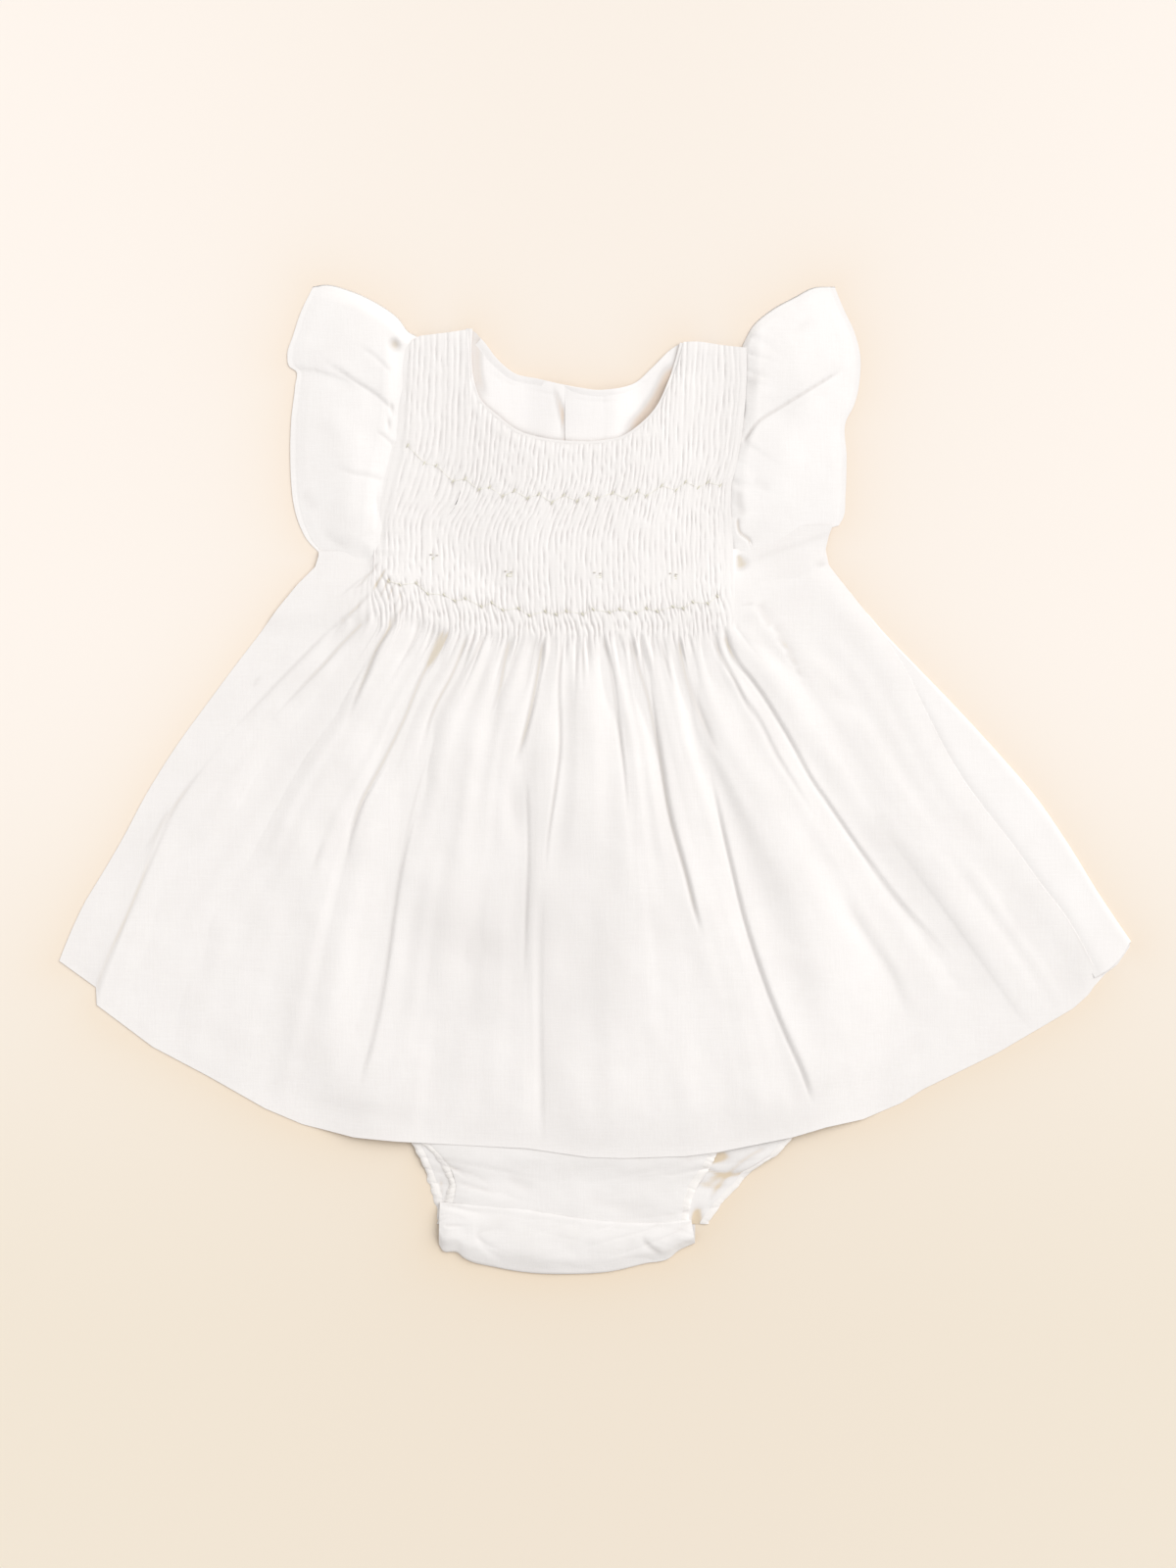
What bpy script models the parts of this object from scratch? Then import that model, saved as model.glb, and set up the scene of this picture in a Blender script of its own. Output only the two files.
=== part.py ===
"""Toddler dress, laid flat with its front up.

The surface it lies on is z = 0, +X runs to the right of the shown front and
+Y to the neck.  The origin is at the middle of the footprint.  Lengths in the
tables are millimetres and become metres where a mesh is made.
"""

import math

import bmesh
import bpy
import numpy as np

MM = 0.001

# Cloth and how it is stacked
WALL = 1.0
GAP = 0.35
SEAM = 0.35
LAYER = WALL + GAP
TURN = GAP / 2

# Smocking
PLEATS = 68
FINE = 2 * PLEATS
COARSE = 4
NECK_COLUMNS = (24, 112)
SIDE_LEFT = -20
SIDE_RIGHT = 160

# Neck
BINDING_WIDTH = 3.8
BINDING_WALL = 1.5
BINDING_CROWN = 0.3
FACING_WIDTH = 5.2
FACING_INSET = 0.6
FACING_CLEAR = 0.15
FACING_SPAN_LEFT = (0.08, 0.68)
FACING_SPAN_RIGHT = (0.005, 0.90)
SLIT_X = -17.5
UNDERLAP_X = 1.0

# Closure: how far each half rises over the buttons, and the buttons' sizes
UNDER_RISE = 1.5
OVER_RISE = UNDER_RISE + LAYER
BUTTON_X = -8.0
BUTTON_RADIUS = 5.0
BUTTON_THICKNESS = 1.2
BUTTON_HOLE_RADIUS = 0.9
BUTTON_HOLE_OFFSET = 1.6
BUTTON_YS = (182.0, 148.0, 114.0)

# Bloomer
CASING_WIDTH = 4.5
HEM_DROP = (-188.5, -195.0)
FRONT_BOTTOM_Y = -218.6
BACK_BOTTOM_Y = -226.0
BOTTOM_SAG = 2.2
GUSSET_BACK_Y = -229.0
GUSSET_PUFF = 0.9

# Underside of the front: its lowest height, its rise over what lies below, and
# soft ramps, each as (where it starts, how far it takes; minus when it goes down)
FRONT_LOW = LAYER + 0.15
FRONT_OVER_CLOSURE = 3.0
FRONT_OVER_BLOOMER = 3 * LAYER + 0.25 - FRONT_LOW
FRONT_BESIDE_NECK = 1.4
CLOSURE_WIDER = 5.0
CLOSURE_LEFT_RAMP = (-38.0, 18.0)
CLOSURE_RIGHT_RAMP = (24.0, -16.0)
CLOSURE_TOP_RAMP = (208.0, -6.0)
CLOSURE_BOTTOM_RAMP = (60.0, 20.0)
BLOOMER_MARGIN = 4.0
BLOOMER_LEFT_RAMP = (-22.0, 22.0)
BLOOMER_RIGHT_RAMP = (22.0, -22.0)
BLOOMER_TOP_RAMP = (114.0, -12.0)
NECK_BOTTOM_RAMP = (178.0, 14.0)
NECK_LEFT_RAMP = (-84.0, 12.0)
NECK_RIGHT_RAMP = (60.0, -12.0)

# Outlines, each a row of (x, y) points
FRONT_NECK = ((-63.3, 230.5), (-63.8, 217.5), (-62.7, 205.0), (-59.2, 194.5), (-50.3, 186.0),
              (-40.3, 178.5), (-27.3, 174.5), (-14.8, 173.0), (0.8, 173.0), (13.2, 175.5),
              (21.5, 181.0), (29.8, 189.5), (36.3, 202.5), (40.3, 214.0), (42.8, 223.5))
BACK_NECK_LEFT = ((-63.3, 229.8), (-58.2, 225.0), (-50.3, 215.0), (-41.7, 208.0), (-30.0, 205.2),
                  (-18.0, 202.3), (UNDERLAP_X, 199.0))
BACK_NECK_RIGHT = ((SLIT_X, 202.0), (-8.0, 200.0), (4.3, 199.3), (19.7, 203.0), (28.7, 211.0),
                   (38.7, 220.5), (42.8, 223.0))
FRONT_SHOULDER_LEFT = ((-98.0, 224.0), (-91.0, 226.3), (-76.0, 228.5), (-68.7, 229.8))
FRONT_SHOULDER_RIGHT = ((48.2, 223.8), (52.0, 223.9), (64.0, 222.2), (76.5, 220.8))
ARMHOLE_LEFT = ((-98.0, 224.0), (-100.8, 205.0), (-102.7, 184.5), (-104.0, 174.0), (-109.5, 153.0),
                (-111.7, 137.0), (-112.6, 124.0), (-114.5, 114.5))
ARMHOLE_RIGHT = ((76.5, 220.8), (75.8, 203.0), (75.0, 185.0), (74.3, 172.0), (69.7, 161.0),
                 (68.7, 146.0), (69.2, 132.0), (70.5, 122.0))
LEFT_EDGE = ((-140.3, 114.0), (-144.3, 109.0), (-156.3, 93.0), (-171.3, 78.0), (-211.8, 20.5),
             (-238.3, -19.5), (-261.3, -52.0), (-274.7, -92.5))
RIGHT_SEAM = ((113.0, 112.0), (118.0, 100.0), (133.0, 76.0), (147.8, 53.0), (167.3, 30.0),
              (182.3, 5.5), (197.8, -14.0), (212.8, -33.0), (226.3, -52.0), (239.8, -69.5),
              (257.3, -101.0))
RIGHT_EDGE = ((119.3, 108.0), (130.8, 97.0), (144.3, 78.0), (159.3, 59.0), (186.3, 34.0),
              (209.3, 11.0), (226.3, -8.0), (243.8, -33.0), (258.8, -58.0), (274.6, -83.0))
HEM = ((-274.7, -92.5), (-255.9, -106.0), (-255.5, -115.0), (-226.8, -136.5), (-198.3, -151.5),
       (-169.3, -168.0), (-150.3, -176.0), (-123.8, -182.5), (-102.3, -184.5), (-73.8, -186.0),
       (-35.3, -188.0), (-4.3, -192.5), (14.3, -193.0), (45.8, -192.0), (61.8, -190.0),
       (100.3, -182.0), (117.3, -176.5), (136.3, -172.0), (155.8, -163.5), (167.3, -156.0),
       (205.3, -138.0), (243.8, -115.5), (257.3, -101.0))
BACK_HEM_RISE = 6.0
BACK_HEM_LEFT_RAMP = (-268.0, 14.0)
BACK_HEM_RIGHT_RAMP = (268.0, -14.0)
WAIST_Y = 88.0

# Back bodice: what its sides pass besides the armhole
SHOULDER_LEFT = (-76.0, 228.0)
SHOULDER_RIGHT = (64.0, 221.8)
SIDE_POINTS_LEFT = ((-139.5, 112.5), (-159.0, WAIST_Y))
SIDE_POINTS_RIGHT = ((75.0, 118.0), (118.0, 109.0), (136.5, WAIST_Y))

# Smocked rows: x at the left armhole, at the left and right sides of the neck
# and at the right armhole, rib height, the y profile as (x, y) pairs, and x of
# the two side seams where the row runs on to them under the arms.
BESIDE_NECK_YS = (203.0, 202.0, 201.5, 199.0)
SMOCK_ROWS = (
    ("neck", -100.9, -67.8, 42.6, 75.7, 1.1, None, None),
    ("first_stitching", -103.9, -68.5, 42.0, 69.1, 0.5,
     ((-104, 174.5), (-76, 156.5), (-50, 147.5), (-15, 143.5), (26, 146), (69.1, 152)), None),
    ("middle", -111.8, -78.0, 40.0, 69.2, 1.2,
     ((-112, 136), (-60, 128), (-15, 125), (69.5, 132)), None),
    ("knots", -114.4, -79.0, 40.0, 70.4, 1.0,
     ((-160, 112), (-112, 113), (-84, 114), (-45, 106), (0, 105), (40, 105), (70, 117),
      (75, 120), (118, 112)), (-139.0, 113.5)),
    ("gathers", -113.0, -79.0, 40.5, 70.5, 0.6,
     ((-160, 96), (-113, 99), (-97, 101), (-82, 94), (-63, 91), (-42, 86.5), (14, 86.5),
      (40, 87.5), (57, 91.5), (70, 94), (120, 98)), (-153.5, 120.0)),
)
SHOULDER_RIB = 0.8

# Skirt lines that run from the smocking to the hem: fine column number, then
# x at the release, one third, two thirds of the way and the hem.
SKIRT_LINES = (
    ("left_seam", SIDE_LEFT, -171.3, -211.3, -251.5, -274.7),
    ("tuck_under", -16, -161.8, -196.8, -229.3, -255.9),
    ("tuck_over", -15, -161.4, -196.4, -228.9, -255.5),
    ("corner", 0, -111.8, -160.3, -204.8, -231.8),
    ("pleat_a", 8, -100.0, -140.0, -173.0, -199.0),
    ("pleat_b", 28, -75.8, -113.3, -148.3, -179.3),
    ("pleat_c", 36, -63.3, -91.8, -110.3, -126.8),
    ("pleat_d", 52, -43.3, -58.3, -69.3, -76.8),
    ("pleat_e", 64, -26.3, -35.3, -37.3, -37.8),
    ("pleat_f", 72, -15.8, -19.3, -26.3, -29.3),
    ("pleat_g", 84, 2.8, 14.3, 18.8, 23.3),
    ("pleat_h", 98, 19.8, 35.3, 59.8, 81.8),
    ("pleat_i", 111, 36.8, 61.3, 86.3, 114.3),
    ("pleat_j", 116, 43.8, 74.3, 108.3, 135.8),
    ("pleat_k", 132, 65.3, 108.8, 155.3, 205.8),
    ("corner_right", FINE, 70.8, 119.8, 168.3, 218.3),
    ("right_seam", SIDE_RIGHT, 133.8, 175.3, 219.3, 257.3),
)
SKIRT_COLUMNS = (SIDE_LEFT, -16, -15, -12, -8, -4, 0, 4, 8, 9, 12, 16, 20, 24, 28, 29, 32, 36, 37,
                 40, 44, 48, 52, 53, 56, 60, 64, 65, 68, 72, 73, 76, 80, 84, 85, 88, 92, 96, 98, 99,
                 102, 106, 111, 112, 116, 117, 120, 124, 128, 132, 133, 136, 140, 144, 148, 152, 156,
                 SIDE_RIGHT)
SKIRT_STEPS = (0.0, 0.1, 0.22, 0.36, 0.5, 0.64, 0.78, 0.9, 1.0)
RELEASE_COLUMNS = (SIDE_LEFT, 0, 40, 100, FINE, SIDE_RIGHT)
RELEASE_YS = (78.0, 78.0, 73.0, 73.0, 78.0, 76.0)

# Pleats: column at the start and end, start and end of its length from the
# smocking to the hem, how deep its crease is, how high its ridge stands, how
# many columns the crease and the ridge span, ridge on the right (1) or left (-1).
FOLDS = (
    ("tuck", -15, -15, 0.05, 1.01, 0.0, 3.2, 1, 3, 1),
    ("side_left", -8, -13, 0.00, 0.45, 1.2, 1.0, 3, 4, 1),
    ("a", 8, 8, 0.00, 0.35, 2.2, 1.0, 3, 4, 1),
    ("b", 28, 28, 0.00, 0.62, 3.0, 2.4, 3, 5, -1),
    ("c", 36, 36, 0.00, 1.01, 2.6, 2.4, 2, 5, 1),
    ("d", 52, 52, 0.00, 0.25, 2.2, 1.5, 3, 4, 1),
    ("e", 64, 64, 0.00, 0.80, 2.6, 2.0, 3, 4, 1),
    ("f", 72, 72, 0.00, 0.60, 2.0, 1.8, 3, 4, 1),
    ("g", 84, 84, 0.00, 0.45, 2.2, 1.8, 3, 4, 1),
    ("h", 98, 98, 0.00, 0.72, 3.2, 2.2, 3, 5, -1),
    ("i", 111, 111, 0.00, 1.01, 3.0, 2.6, 2, 5, -1),
    ("j", 116, 117, 0.00, 0.32, 2.6, 1.5, 3, 5, 1),
    ("k", 132, 132, 0.00, 0.85, 3.2, 2.4, 3, 6, 1),
    ("side_right", 140, 146, 0.00, 0.22, 1.4, 1.2, 4, 5, 1),
)
FOLD_FADE = 2.2
PUFF = 2.4
PUFF_LEAST = 0.55
TUCK_COLUMN = -16
TUCK_LIFT = 0.15
EDGE_COLUMNS = (SIDE_LEFT, -15, -14, 146, SIDE_RIGHT)
EDGE_LIFTS = (0.0, 0.3, 1.0, 1.0, 0.0)

# Free edge of each sleeve from the shoulder to the underarm: share of the
# armhole where it is sewn, edge x, edge y, lift at the edge.
SLEEVE_LEFT = (
    (0.00, -144.5, 250.2, 1.2),
    (0.09, -150.8, 239.0, 3.0),
    (0.173, -155.0, 227.0, 4.4),
    (0.24, -157.3, 215.5, 4.6),
    (0.28, -155.5, 209.5, 4.2),
    (0.31, -153.5, 207.0, 1.4),
    (0.40, -155.3, 190.0, 2.4),
    (0.54, -156.0, 167.0, 3.2),
    (0.648, -155.8, 149.0, 2.8),
    (0.794, -152.5, 133.5, 2.2),
    (0.91, -147.5, 123.5, 1.4),
    (1.00, -141.5, 117.5, 0.6),
)
SLEEVE_RIGHT = (
    (0.00, 121.5, 250.8, 1.2),
    (0.09, 126.0, 241.0, 3.0),
    (0.20, 131.7, 228.0, 4.2),
    (0.30, 134.7, 217.0, 4.8),
    (0.38, 134.7, 206.5, 4.4),
    (0.42, 133.0, 202.5, 1.6),
    (0.49, 128.7, 186.0, 2.4),
    (0.61, 127.8, 167.0, 3.4),
    (0.76, 126.8, 149.0, 3.6),
    (0.90, 124.8, 137.0, 3.2),
    (0.95, 122.5, 131.0, 2.6),
    (1.00, 119.5, 127.5, 2.4),
)
SLEEVE_WIDTHS = (0.0, 0.18, 0.42, 0.66, 0.86, 1.0)
SLEEVE_BACK_ROWS = (0, 2, 4, 6, 7, 8, 9, 10, 11)
SLEEVE_LOW = LAYER + 0.05
BACK_INSET = 1.6
ARMHOLE_CLEAR = 0.8
SHOULDER_BOW = 10.2
SECOND_BOW = 7.1
SECOND_BACK_BOW = 5.1

# Bloomer outline: y, left and right edge of the front, left and right of the back.
BLOOMER = (
    (84.0, -100.0, 58.0, -100.0, 58.0),
    (20.0, -108.0, 76.0, -108.0, 76.0),
    (-50.0, -116.0, 92.0, -116.0, 92.0),
    (-110.0, -122.0, 104.0, -122.0, 104.0),
    (-148.0, -124.0, 108.0, -125.0, 116.0),
    (-170.0, -108.0, 84.0, -112.0, 108.0),
    (-184.0, -92.0, 65.5, -95.0, 99.5),
    (-192.0, -84.0, 61.0, -90.5, 90.0),
    (-200.0, -78.0, 55.0, -87.5, 79.0),
    (-210.0, -76.0, 50.0, -84.5, 71.5),
    (-222.5, -76.0, 46.8, -81.5, 59.0),
)
LEG_START = -148.0
CASING_END = -216.0
# Gusset: station across, x, front seam y, fold y
GUSSET = (
    (0.00, -79.5, -218.5, -237.0),
    (0.12, -70.0, -220.0, -243.0),
    (0.28, -52.0, -222.0, -249.5),
    (0.50, -13.3, -224.2, -252.5),
    (0.70, 16.0, -224.6, -250.0),
    (0.86, 37.0, -223.8, -243.8),
    (1.00, 50.0, -222.5, -236.5),
)

COLLECTION = bpy.data.collections.new("toddler_dress")


def clear_scene():
    """Remove every object, and link the dress's own collection."""
    for item in list(bpy.data.objects):
        bpy.data.objects.remove(item, do_unlink=True)
    bpy.context.scene.collection.children.link(COLLECTION)


def finish(name, colour, roughness, metallic=0.0):
    """A Principled material with one colour, roughness and metallic value."""
    material = bpy.data.materials.new(name)
    material.use_nodes = True
    shader = material.node_tree.nodes["Principled BSDF"]
    shader.inputs["Base Color"].default_value = (*colour, 1.0)
    shader.inputs["Roughness"].default_value = roughness
    shader.inputs["Metallic"].default_value = metallic
    return material


def along(points, shares):
    """Points on a polyline at the given shares of its length."""
    line = np.asarray(points, float)
    steps = np.r_[0.0, np.cumsum(np.linalg.norm(np.diff(line, axis=0), axis=1))]
    steps /= steps[-1]
    return np.stack([np.interp(shares, steps, line[:, k]) for k in range(line.shape[1])], axis=-1)


def offset_line(points, distance):
    """The same line moved sideways, to the right of its direction for a plus distance."""
    line = np.asarray(points, float)
    ahead = np.gradient(line, axis=0)
    ahead /= np.linalg.norm(ahead, axis=1)[:, None]
    return line + distance * np.stack([ahead[:, 1], -ahead[:, 0]], axis=1)


def ease(value):
    """A smooth step from 0 to 1."""
    value = np.clip(value, 0.0, 1.0)
    return value * value * (3 - 2 * value)


def ramp(value, start_and_run):
    """A smooth step from 0 to 1 that starts at a place and takes a run, plus or minus."""
    start, run = start_and_run
    return ease((value - start) / run)


def table_at(table, key, value):
    """Column `key` of a table whose first number falls or rises, read at `value`."""
    rows = np.asarray(table, float)
    order = np.argsort(rows[:, 0])
    return np.interp(value, rows[order, 0], rows[order, key])


def mesh_object(name, surface, material, wall):
    """An object from an open surface in a bmesh, given its wall by Solidify."""
    mesh = bpy.data.meshes.new(name)
    surface.to_mesh(mesh)
    surface.free()
    mesh.materials.append(material)
    item = bpy.data.objects.new(name, mesh)
    COLLECTION.objects.link(item)
    solidify = item.modifiers.new("cloth", "SOLIDIFY")
    solidify.thickness = wall * MM
    solidify.offset = 1.0
    solidify.use_even_offset = False
    return item


def grid_object(name, grid, material, wall=WALL):
    """A sheet from a grid of points; its normal is across x across, down."""
    rows, columns = grid.shape[:2]
    surface = bmesh.new()
    bmesh.ops.create_grid(surface, x_segments=columns - 1, y_segments=rows - 1, size=1.0)
    for vertex in surface.verts:
        column = round((vertex.co.x + 1) / 2 * (columns - 1))
        row = round((1 - vertex.co.y) / 2 * (rows - 1))
        vertex.co = grid[row, column] * MM
    return mesh_object(name, surface, material, wall)


def loft_object(name, rows, material, wall=WALL):
    """A sheet lofted between rows that hold unlike sets of numbered columns."""
    surface = bmesh.new()
    placed = [{c: surface.verts.new(p * MM) for c, p in row.items()} for row in rows]
    for upper, lower in zip(placed, placed[1:]):
        shared = sorted(set(upper) & set(lower))
        for left, right in zip(shared, shared[1:]):
            if right - left > 5:
                continue
            top = [upper[c] for c in sorted(upper) if left <= c <= right]
            bottom = [lower[c] for c in sorted(lower) if left <= c <= right]
            surface.faces.new(bottom + top[::-1])
    return mesh_object(name, surface, material, wall)


def closure_rise(x, height, wider=0.0):
    """How far the cloth rises over the buttons, with soft shoulders each side."""
    return height * ramp(x + wider, CLOSURE_LEFT_RAMP) * ramp(x - wider, CLOSURE_RIGHT_RAMP)


def front_base(x, y):
    """Lowest place of the front's underside over the layers that lie below it."""
    over_closure = closure_rise(x, FRONT_OVER_CLOSURE, CLOSURE_WIDER)
    over_closure *= ramp(y, CLOSURE_TOP_RAMP) * ramp(y, CLOSURE_BOTTOM_RAMP)
    left = table_at(BLOOMER, 1, y) - BLOOMER_MARGIN
    right = table_at(BLOOMER, 4, y) + BLOOMER_MARGIN
    inside = ramp(x - left, BLOOMER_LEFT_RAMP) * ramp(x - right, BLOOMER_RIGHT_RAMP)
    over_bloomer = FRONT_OVER_BLOOMER * inside * ramp(y, BLOOMER_TOP_RAMP)
    beside_neck = FRONT_BESIDE_NECK * ramp(y, NECK_BOTTOM_RAMP)
    beside_neck *= ramp(x, NECK_LEFT_RAMP) * ramp(x, NECK_RIGHT_RAMP)
    return FRONT_LOW + np.maximum(np.maximum(over_closure, over_bloomer), beside_neck)


def front_neck_y(x):
    """Height of the smocking's neck edge, under the binding, at x."""
    edge = offset_line(FRONT_NECK, BINDING_WIDTH + 2 * SEAM)
    edge[:, 0] = np.maximum.accumulate(edge[:, 0])
    low = edge[2:-2]
    return np.interp(x, low[:, 0], low[:, 1])


def smock_row(kind, columns):
    """One row of the smocking as a dictionary of column number to point."""
    _, left, neck_left, neck_right, right, rib, profile, sides = kind
    x = np.interp(columns, (0, *NECK_COLUMNS, FINE), (left, neck_left, neck_right, right))
    if sides:
        x = np.where(columns < 0, left + (sides[0] - left) * columns / SIDE_LEFT, x)
        beyond = (columns - FINE) / (SIDE_RIGHT - FINE)
        x = np.where(columns > FINE, right + (sides[1] - right) * beyond, x)
    if profile:
        y = np.interp(x, *zip(*profile))
    else:
        beside = np.interp(columns, (0, *NECK_COLUMNS, FINE), BESIDE_NECK_YS)
        in_neck = (columns >= NECK_COLUMNS[0]) & (columns <= NECK_COLUMNS[1])
        y = np.where(in_neck, front_neck_y(x), beside)
    smocked = (columns >= 0) & (columns <= FINE)
    ribs = rib * smocked * ((columns + 1) % 2)
    z = front_base(x, y) + ribs
    return {int(c): np.array(p) for c, p in zip(columns, np.stack([x, y, z], axis=1))}


def shoulder_row():
    """The top row of the smocking, on the two shoulders only."""
    row = {}
    for line, first, last in ((FRONT_SHOULDER_LEFT, 0, NECK_COLUMNS[0]),
                              (FRONT_SHOULDER_RIGHT, NECK_COLUMNS[1], FINE)):
        columns = np.arange(first, last + 1)
        xy = along(line, (columns - first) / (last - first))
        z = front_base(xy[:, 0], xy[:, 1]) + SHOULDER_RIB * ((columns + 1) % 2)
        row.update({int(c): np.array([x, y, h]) for c, (x, y), h in zip(columns, xy, z)})
    return row


def skirt_lift(column, share):
    """Height of the skirt over its base: a puffed surface with creases and ridges."""
    swell = PUFF_LEAST + (1 - PUFF_LEAST) * math.sin(math.pi * share)
    lift = PUFF * swell * np.ones_like(column, float)
    for _, start, end, first, last, crease, ridge, narrow, wide, side in FOLDS:
        share_along = (share - first) / (last - first)
        if not -0.001 <= share_along <= 1.001:
            continue
        centre = start + (end - start) * share_along
        fade = 1.0 if last > 1 else min(1.0, FOLD_FADE * (1 - share_along))
        away = column - centre
        lift -= crease * fade * np.clip(1 - np.abs(away) / narrow, 0, 1)
        ridge_away = np.abs(away - side * narrow * 0.5)
        lift += ridge * fade * np.clip(1 - ridge_away / wide, 0, 1) * (away * side > 0)
    return np.maximum(lift, 0.0)


def skirt_row(share, columns=SKIRT_COLUMNS):
    """One row of the skirt at a share of the way from the smocking to the hem."""
    columns = np.asarray(columns)
    lines = np.array([row[1:] for row in SKIRT_LINES], float)
    x_lines = [np.interp(share, (0, 1 / 3, 2 / 3, 1), row[1:]) for row in lines]
    x = np.interp(columns, lines[:, 0], x_lines)
    hem_x = np.interp(columns, lines[:, 0], lines[:, 4])
    hem_y = np.interp(hem_x, *zip(*HEM))
    release_y = np.interp(columns, RELEASE_COLUMNS, RELEASE_YS)
    y = release_y + (hem_y - release_y) * share
    left_x = np.interp(-y, *zip(*[(-b, a) for a, b in LEFT_EDGE]))
    right_x = np.interp(-y, *zip(*[(-b, a) for a, b in RIGHT_SEAM]))
    x = np.where(columns == SIDE_LEFT, left_x, x)
    x = np.where(columns == SIDE_RIGHT, right_x, x)
    lift = skirt_lift(columns, share)
    lift = np.where(columns <= TUCK_COLUMN, TUCK_LIFT * lift, lift)
    lift *= np.interp(columns, EDGE_COLUMNS, EDGE_LIFTS)
    z = front_base(x, y) + lift
    return {int(c): np.array(p) for c, p in zip(columns, np.stack([x, y, z], axis=1))}


def make_front(cloth):
    """The front in one cut: smocked yoke, plain underarms, pleated skirt."""
    fine = np.arange(0, FINE + 1)
    with_sides = np.r_[np.arange(SIDE_LEFT, 0, COARSE), fine,
                       np.arange(FINE + COARSE, SIDE_RIGHT + 1, COARSE)]
    rows = [shoulder_row()]
    rows += [smock_row(kind, with_sides if kind[-1] else fine) for kind in SMOCK_ROWS]
    rows += [skirt_row(share) for share in SKIRT_STEPS]
    return loft_object("front", rows, cloth)


def edge_from_waist(edge):
    """The part of a side edge that lies below the back waist seam."""
    line = np.asarray(edge, float)
    top_x = np.interp(-(WAIST_Y - SEAM), -line[:, 1], line[:, 0])
    return np.vstack([[top_x, WAIST_Y - SEAM], line[line[:, 1] < WAIST_Y - 2 * SEAM]])


def make_back_skirt(cloth):
    """Back skirt, flat on the surface, its right edge turned over to the front."""
    shares = np.linspace(0, 1, 11)
    across = np.linspace(0, 1, 11)
    left = along(edge_from_waist(LEFT_EDGE), shares)
    right = along(edge_from_waist(RIGHT_EDGE), shares)
    seam = along(edge_from_waist(RIGHT_SEAM), shares)
    fold_x = right[:, 0] - WALL - TURN
    x = left[:, :1] + (fold_x - left[:, 0])[:, None] * across
    hem_y = np.interp(x[-1], *zip(*HEM, RIGHT_EDGE[-1]))
    hem_y += BACK_HEM_RISE * ramp(x[-1], BACK_HEM_LEFT_RAMP) * ramp(x[-1], BACK_HEM_RIGHT_RAMP)
    top = WAIST_Y - SEAM
    left_down = (left[:, 1] - top) / (left[-1, 1] - top)
    right_down = (right[:, 1] - top) / (right[-1, 1] - top)
    down = left_down[:, None] + (right_down - left_down)[:, None] * across
    y = top + (hem_y - top) * down
    flat = np.dstack([x, y, np.full_like(x, WALL)])
    turn = np.column_stack([fold_x + TURN, right[:, 1], np.full(len(seam), WALL + TURN)])
    over = np.column_stack([fold_x, right[:, 1], np.full(len(seam), LAYER)])
    strip = np.column_stack([seam[:, 0] + 3 * SEAM, seam[:, 1], np.full(len(seam), LAYER)])
    grid = np.concatenate([flat, turn[:, None], over[:, None], strip[:, None]], axis=1)
    grid_object("back_skirt", grid[::-1], cloth)


def bodice_grid(neck_line, side_line, centre_x, rise_height, columns=9, mirror=False):
    """Half of the back bodice: shoulder and neck above, waist below, armhole outside."""
    shares = np.linspace(0, 1, columns)
    top = along(neck_line, shares)
    side = np.asarray(side_line, float)
    rows = len(side)
    grid = np.zeros((rows, columns, 3))
    for row in range(rows):
        down = row / (rows - 1)
        outer = side[row]
        inner = np.array([centre_x, top[-1, 1] + (WAIST_Y - top[-1, 1]) * down])
        line = outer + (inner - outer) * shares[:, None]
        bow = (1 - down) * (top - (top[0] + (top[-1] - top[0]) * shares[:, None]))
        grid[row, :, :2] = line + bow
    grid[:, :, 2] = closure_rise(grid[:, :, 0], rise_height)
    return grid[:, ::-1] if mirror else grid


def make_back_bodices(cloth):
    """The two halves of the back above the waist; the right one overlaps the left."""
    neck = (ARMHOLE_LEFT[0], SHOULDER_LEFT, *BACK_NECK_LEFT)
    grid = bodice_grid(neck, (*ARMHOLE_LEFT, *SIDE_POINTS_LEFT), UNDERLAP_X, UNDER_RISE)
    grid_object("back_bodice_left", grid, cloth)
    neck = (ARMHOLE_RIGHT[0], SHOULDER_RIGHT, *BACK_NECK_RIGHT[::-1])
    grid = bodice_grid(neck, (*ARMHOLE_RIGHT, *SIDE_POINTS_RIGHT), SLIT_X, OVER_RISE, mirror=True)
    grid_object("back_bodice_right", grid, cloth)


def make_neck_binding(cloth):
    """Bias binding round the front neck edge, crowned, outside the smocking's edge."""
    shares = np.linspace(0, 1, 25)
    outer = along(offset_line(FRONT_NECK, BINDING_WIDTH), shares)
    inner = along(FRONT_NECK, shares)
    grid = np.zeros((3, len(shares), 3))
    grid[0, :, :2] = inner
    grid[1, :, :2] = (inner + outer) / 2
    grid[2, :, :2] = outer
    height = front_base(grid[..., 0], grid[..., 1])
    grid[..., 2] = height + np.array([0.0, BINDING_CROWN, 0.0])[:, None]
    grid_object("neck_binding_front", grid, cloth, BINDING_WALL)


def make_neck_facings(cloth):
    """Narrow facings inside the back neck edge, on the bodice halves."""
    for name, line, span, rise in (
            ("neck_facing_left", BACK_NECK_LEFT, FACING_SPAN_LEFT, UNDER_RISE),
            ("neck_facing_right", BACK_NECK_RIGHT, FACING_SPAN_RIGHT, OVER_RISE)):
        shares = np.linspace(*span, 9)
        edge = along(offset_line(line, FACING_INSET), shares)
        inside = along(offset_line(line, FACING_INSET + FACING_WIDTH), shares)
        grid = np.zeros((2, len(shares), 3))
        grid[0, :, :2] = edge
        grid[1, :, :2] = inside
        grid[..., 2] = closure_rise(grid[..., 0], rise) + LAYER + FACING_CLEAR
        grid_object(name, grid, cloth)


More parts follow.
